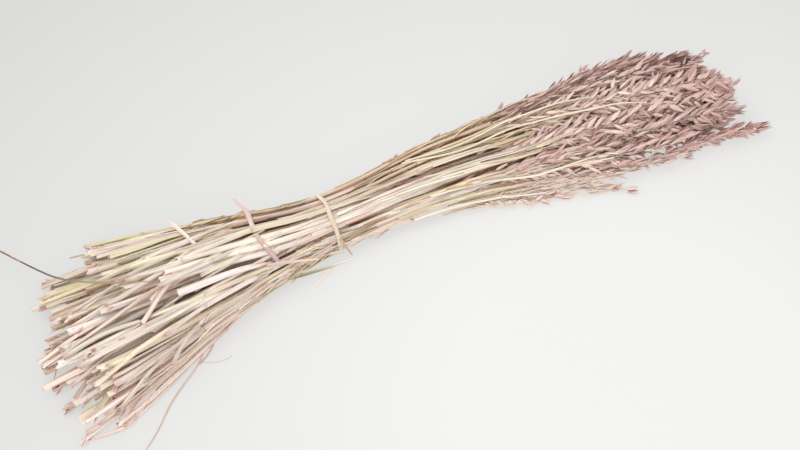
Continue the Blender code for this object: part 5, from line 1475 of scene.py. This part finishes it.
def strap(shell, rng):
    """The flat leaf drawn over the stalks and under the long pale one."""
    pale = min(stalk_names, key=lambda k: float(np.linalg.norm(LINES[k][0][0] - row([(-260, 34, 45)])[0])))
    way = row([(-119, -13, 0), (-123, -5, 0), (-127.5, 4, 0), (-129.4, 11, 0), (-128, 28, 0), (-126.5, 38, 0), (-125.6, 47, 0)])
    over_ = drape(way, 1.3, 0.0, 2.5, floor=9.0, skip=pale)
    top = over_[-1]
    free = top + np.array([[-2.0, 5, 1.6], [-4.0, 10, 3.2], [-6.0, 15, 4.4]])
    path = curve(np.vstack([over_[::2], free]), count=44)
    n = len(path)
    f = np.linspace(0, 1, n)
    half = 2.15 * np.clip(0.65 + 5 * f, 0, 1) * (1 - 0.5 * smooth((f - 0.74) / 0.26)) * (1 - 0.12 * np.sin(f * 23))
    t = unit(np.gradient(path, axis=0))
    ups = np.cross(np.array([1.0, 0, 0]), t)
    ups = unit(ups * np.sign(ups[:, 2:3] + 1e-6) + np.array([0.25, 0, 0]) * np.sin(f * 7)[:, None])
    tint = mix(lin(234, 214, 206), lin(212, 182, 174), np.clip(0.5 + 0.5 * np.sin(f * 9), 0, 1))
    strip(shell, path, half, ups, 2, tint, 4.0, thick=0.3, cup=0.45, cols=6)


loose("leaf_strap", "loose_leaf_strap", strap)


def side_leaf(shell, rng):
    way = row([(-226, 3, 55), (-236, 8, 55), (-250, 15, 53), (-268, 28, 49), (-293, 51, 40), (-306, 69, 34), (-318.5, 90.5, 28), (-331, 113, 22), (-340, 129, 17)])
    path = curve(way, step=5)
    n = len(path)
    f = np.linspace(0, 1, n)
    path[:, 2] += 0.8 * np.sin(f * 14)
    path[:, 0] += 0.9 * np.sin(f * 9 + 1)
    half = 1.05 * np.clip(0.3 + 4 * f, 0, 1) * (1 - 0.45 * f)
    ups = unit(np.stack([0.3 * np.sin(f * 7), -0.6 + 0.5 * np.sin(f * 5), np.ones(n)], 1))
    tint = mix(lin(158, 142, 112), lin(112, 96, 84), smooth((f - 0.3) / 0.3) * (1 - 0.6 * smooth((f - 0.86) / 0.14)))
    strip(shell, path, half, ups, 2, tint, 9.0, cup=0.45, cols=4)
    k = int(n * 0.74)
    fork = path[k:].copy()
    g = np.linspace(0, 1, len(fork))
    fork += np.array([1.0, 0.3, 0.8]) * (2.4 * g)[:, None]
    strip(shell, fork, 0.5 * (1 - 0.6 * g) + 0.1, (0, 0.2, 1), 2, lin(222, 190, 172), 12.0, cup=0.3, cols=3)


loose("leaf_strand_side", "loose_leaf_side", side_leaf)


def front_leaf(shell, rng):
    way = row([(-184, -18, 5), (-191, -27, 1.2), (-204, -43, 0.5), (-211, -52, 0.5), (-224, -61, 0.6), (-237, -70.5, 0.6), (-253, -85, 0.5), (-267, -97.5, 0.5), (-286, -115, 0.5)])
    path = curve(way, step=4)
    n = len(path)
    f = np.linspace(0, 1, n)
    path[:, 0] += 1.1 * np.sin(f * 17)
    path[:, 2] = np.maximum(path[:, 2] + 0.7 * np.abs(np.sin(f * 8)), 0.55)
    ups = unit(np.stack([0.5 * np.sin(f * 9), -0.5 + 0.6 * np.sin(f * 12), np.ones(n)], 1))
    strip(shell, path, 1.1 * np.clip(0.4 + 4 * f, 0, 1) * (1 - 0.5 * f), ups, 2, mix(lin(230, 206, 188), lin(206, 182, 158), 0.5 + 0.5 * np.sin(f * 11)), 21.0, cup=0.4, cols=4)
    loop = row([(-186, -20, 4), (-192, -32, 3.5), (-200, -42, 2.5), (-207, -50, 1.5), (-214, -55, 0.9)])
    p = curve(loop, step=4)
    p[:, 0] += 4.5 * np.sin(np.linspace(0, math.pi, len(p)))
    strip(shell, p, 0.75, (0, -0.3, 1), 2, lin(214, 172, 156), 25.0, cup=0.3, cols=3)
    wisp = row([(-211, -54, 0.5), (-203, -58, 0.5), (-193, -60, 0.5), (-186, -59, 0.5)])
    strip(shell, curve(wisp, step=3), 0.35, (0, 0, 1), 2, lin(226, 210, 196), 27.0, cup=0.1, cols=3)


loose("leaf_strand_front", "loose_leaf_front", front_leaf)


def floor_leaf(shell, rng):
    way = row([(-52.5, -15.2, 0.8), (-70, -14.5, 1.0), (-86, -13.1, 1.0), (-102, -11.3, 1.0), (-119, -9.4, 1.2)])
    p = curve(way, step=4)
    f = np.linspace(0, 1, len(p))
    strip(shell, p, 1.45 * np.clip(0.3 + 1.6 * f, 0, 1), (0, -0.25, 1), 1, mix(lin(242, 236, 220), lin(190, 180, 144), smooth(f * 1.3)), 33.0, cup=0.3, cols=4)
    way = row([(-73.4, -15.9, 0.8), (-84, -21.2, 0.7), (-95.4, -27.3, 0.7)])
    p = curve(way, step=3)
    strip(shell, p, 1.15, (0, -0.2, 1), 1, lin(240, 226, 212), 37.0, cup=0.3, cols=4)


loose("leaf_strip_floor", "loose_leaf_floor", floor_leaf)


# ---------------------------------------------------------------- floor, light and camera
def floor_material():
    """A pale sweep that partly glows, as if lit from behind, so that what lies on it throws hardly any shadow; the glow
    is strongest round one spot and fades away from it, a painted pool of light.
    """
    m, n, l, shader = link_material("pale_floor")
    shader.inputs["Roughness"].default_value = 0.9
    shader.inputs["Specular IOR Level"].default_value = 0.1
    shader.inputs["Base Color"].default_value = (0.22, 0.22, 0.217, 1)
    shader.inputs["Emission Color"].default_value = (1.0, 1.0, 0.985, 1)
    place = n.new("ShaderNodeNewGeometry")
    away = n.new("ShaderNodeVectorMath")
    away.operation = "DISTANCE"
    away.inputs[1].default_value = (0.10, -0.24, 0.0)
    l.new(place.outputs["Position"], away.inputs[0])
    # glow fades with distance from one spot: a painted pool of light
    l.new(ranged(n, l, away.outputs["Value"], 0.15, 0.85, FLOOR_GLOW, FLOOR_GLOW - 0.24), shader.inputs["Emission Strength"])
    return m


FLOOR_GLOW = 0.622
me = bpy.data.meshes.new("floor")
me.from_pydata([(-8, -8, 0), (8, -8, 0), (8, 8, 0), (-8, 8, 0)], [], [(0, 1, 2, 3)])
me.materials.append(floor_material())
floor = bpy.data.objects.new("floor", me)
bpy.context.scene.collection.objects.link(floor)

world = bpy.data.worlds.new("studio")
bpy.context.scene.world = world
world.use_nodes = True
world.node_tree.nodes["Background"].inputs["Color"].default_value = (0.98, 0.985, 1.0, 1)
world.node_tree.nodes["Background"].inputs["Strength"].default_value = 0.80


def softbox(name, at, aim, size, watts, colour=(1, 1, 1)):
    light = bpy.data.lights.new(name, "AREA")
    light.shape = "RECTANGLE"
    light.size, light.size_y = size
    light.energy = watts
    light.color = colour
    obj = bpy.data.objects.new(name, light)
    bpy.context.scene.collection.objects.link(obj)
    obj.location = at
    obj.rotation_euler = (Vector(aim) - Vector(at)).to_track_quat("-Z", "Y").to_euler()
    return obj


softbox("key", (-0.65, 0.35, 1.7), (-0.1, 0, 0), (1.6, 1.4), 15.2, (1.0, 0.988, 0.98))
softbox("near", (-0.25, -1.3, 0.55), (-0.1, -0.05, 0), (1.8, 0.6), 2.3, (1.0, 0.995, 0.99)).visible_camera = False
softbox("fill", (-0.7, -1.6, 1.4), (-0.1, 0, 0), (2.2, 1.6), 13.0, (1.0, 0.99, 0.985))

ELEVATION, AZIMUTH, DISTANCE, LENS = 55.0, -26.0, 1.20, 60.0
cam = bpy.data.cameras.new("camera")
cam.lens, cam.sensor_width = LENS, 36.0
cam.clip_start, cam.clip_end = 0.01, 50
camera = bpy.data.objects.new("camera", cam)
bpy.context.scene.collection.objects.link(camera)
e, a = math.radians(ELEVATION), math.radians(AZIMUTH)
back = Vector((math.sin(a) * math.cos(e), -math.cos(a) * math.cos(e), math.sin(e)))
target = Vector([float(v) for v in -SHIFT * MM])
camera.location = target + back * DISTANCE
camera.rotation_mode = "QUATERNION"
camera.rotation_quaternion = (-back).to_track_quat("-Z", "Y")
bpy.context.scene.camera = camera
bpy.context.scene.view_settings.view_transform = "Standard"

bpy.context.view_layer.update()
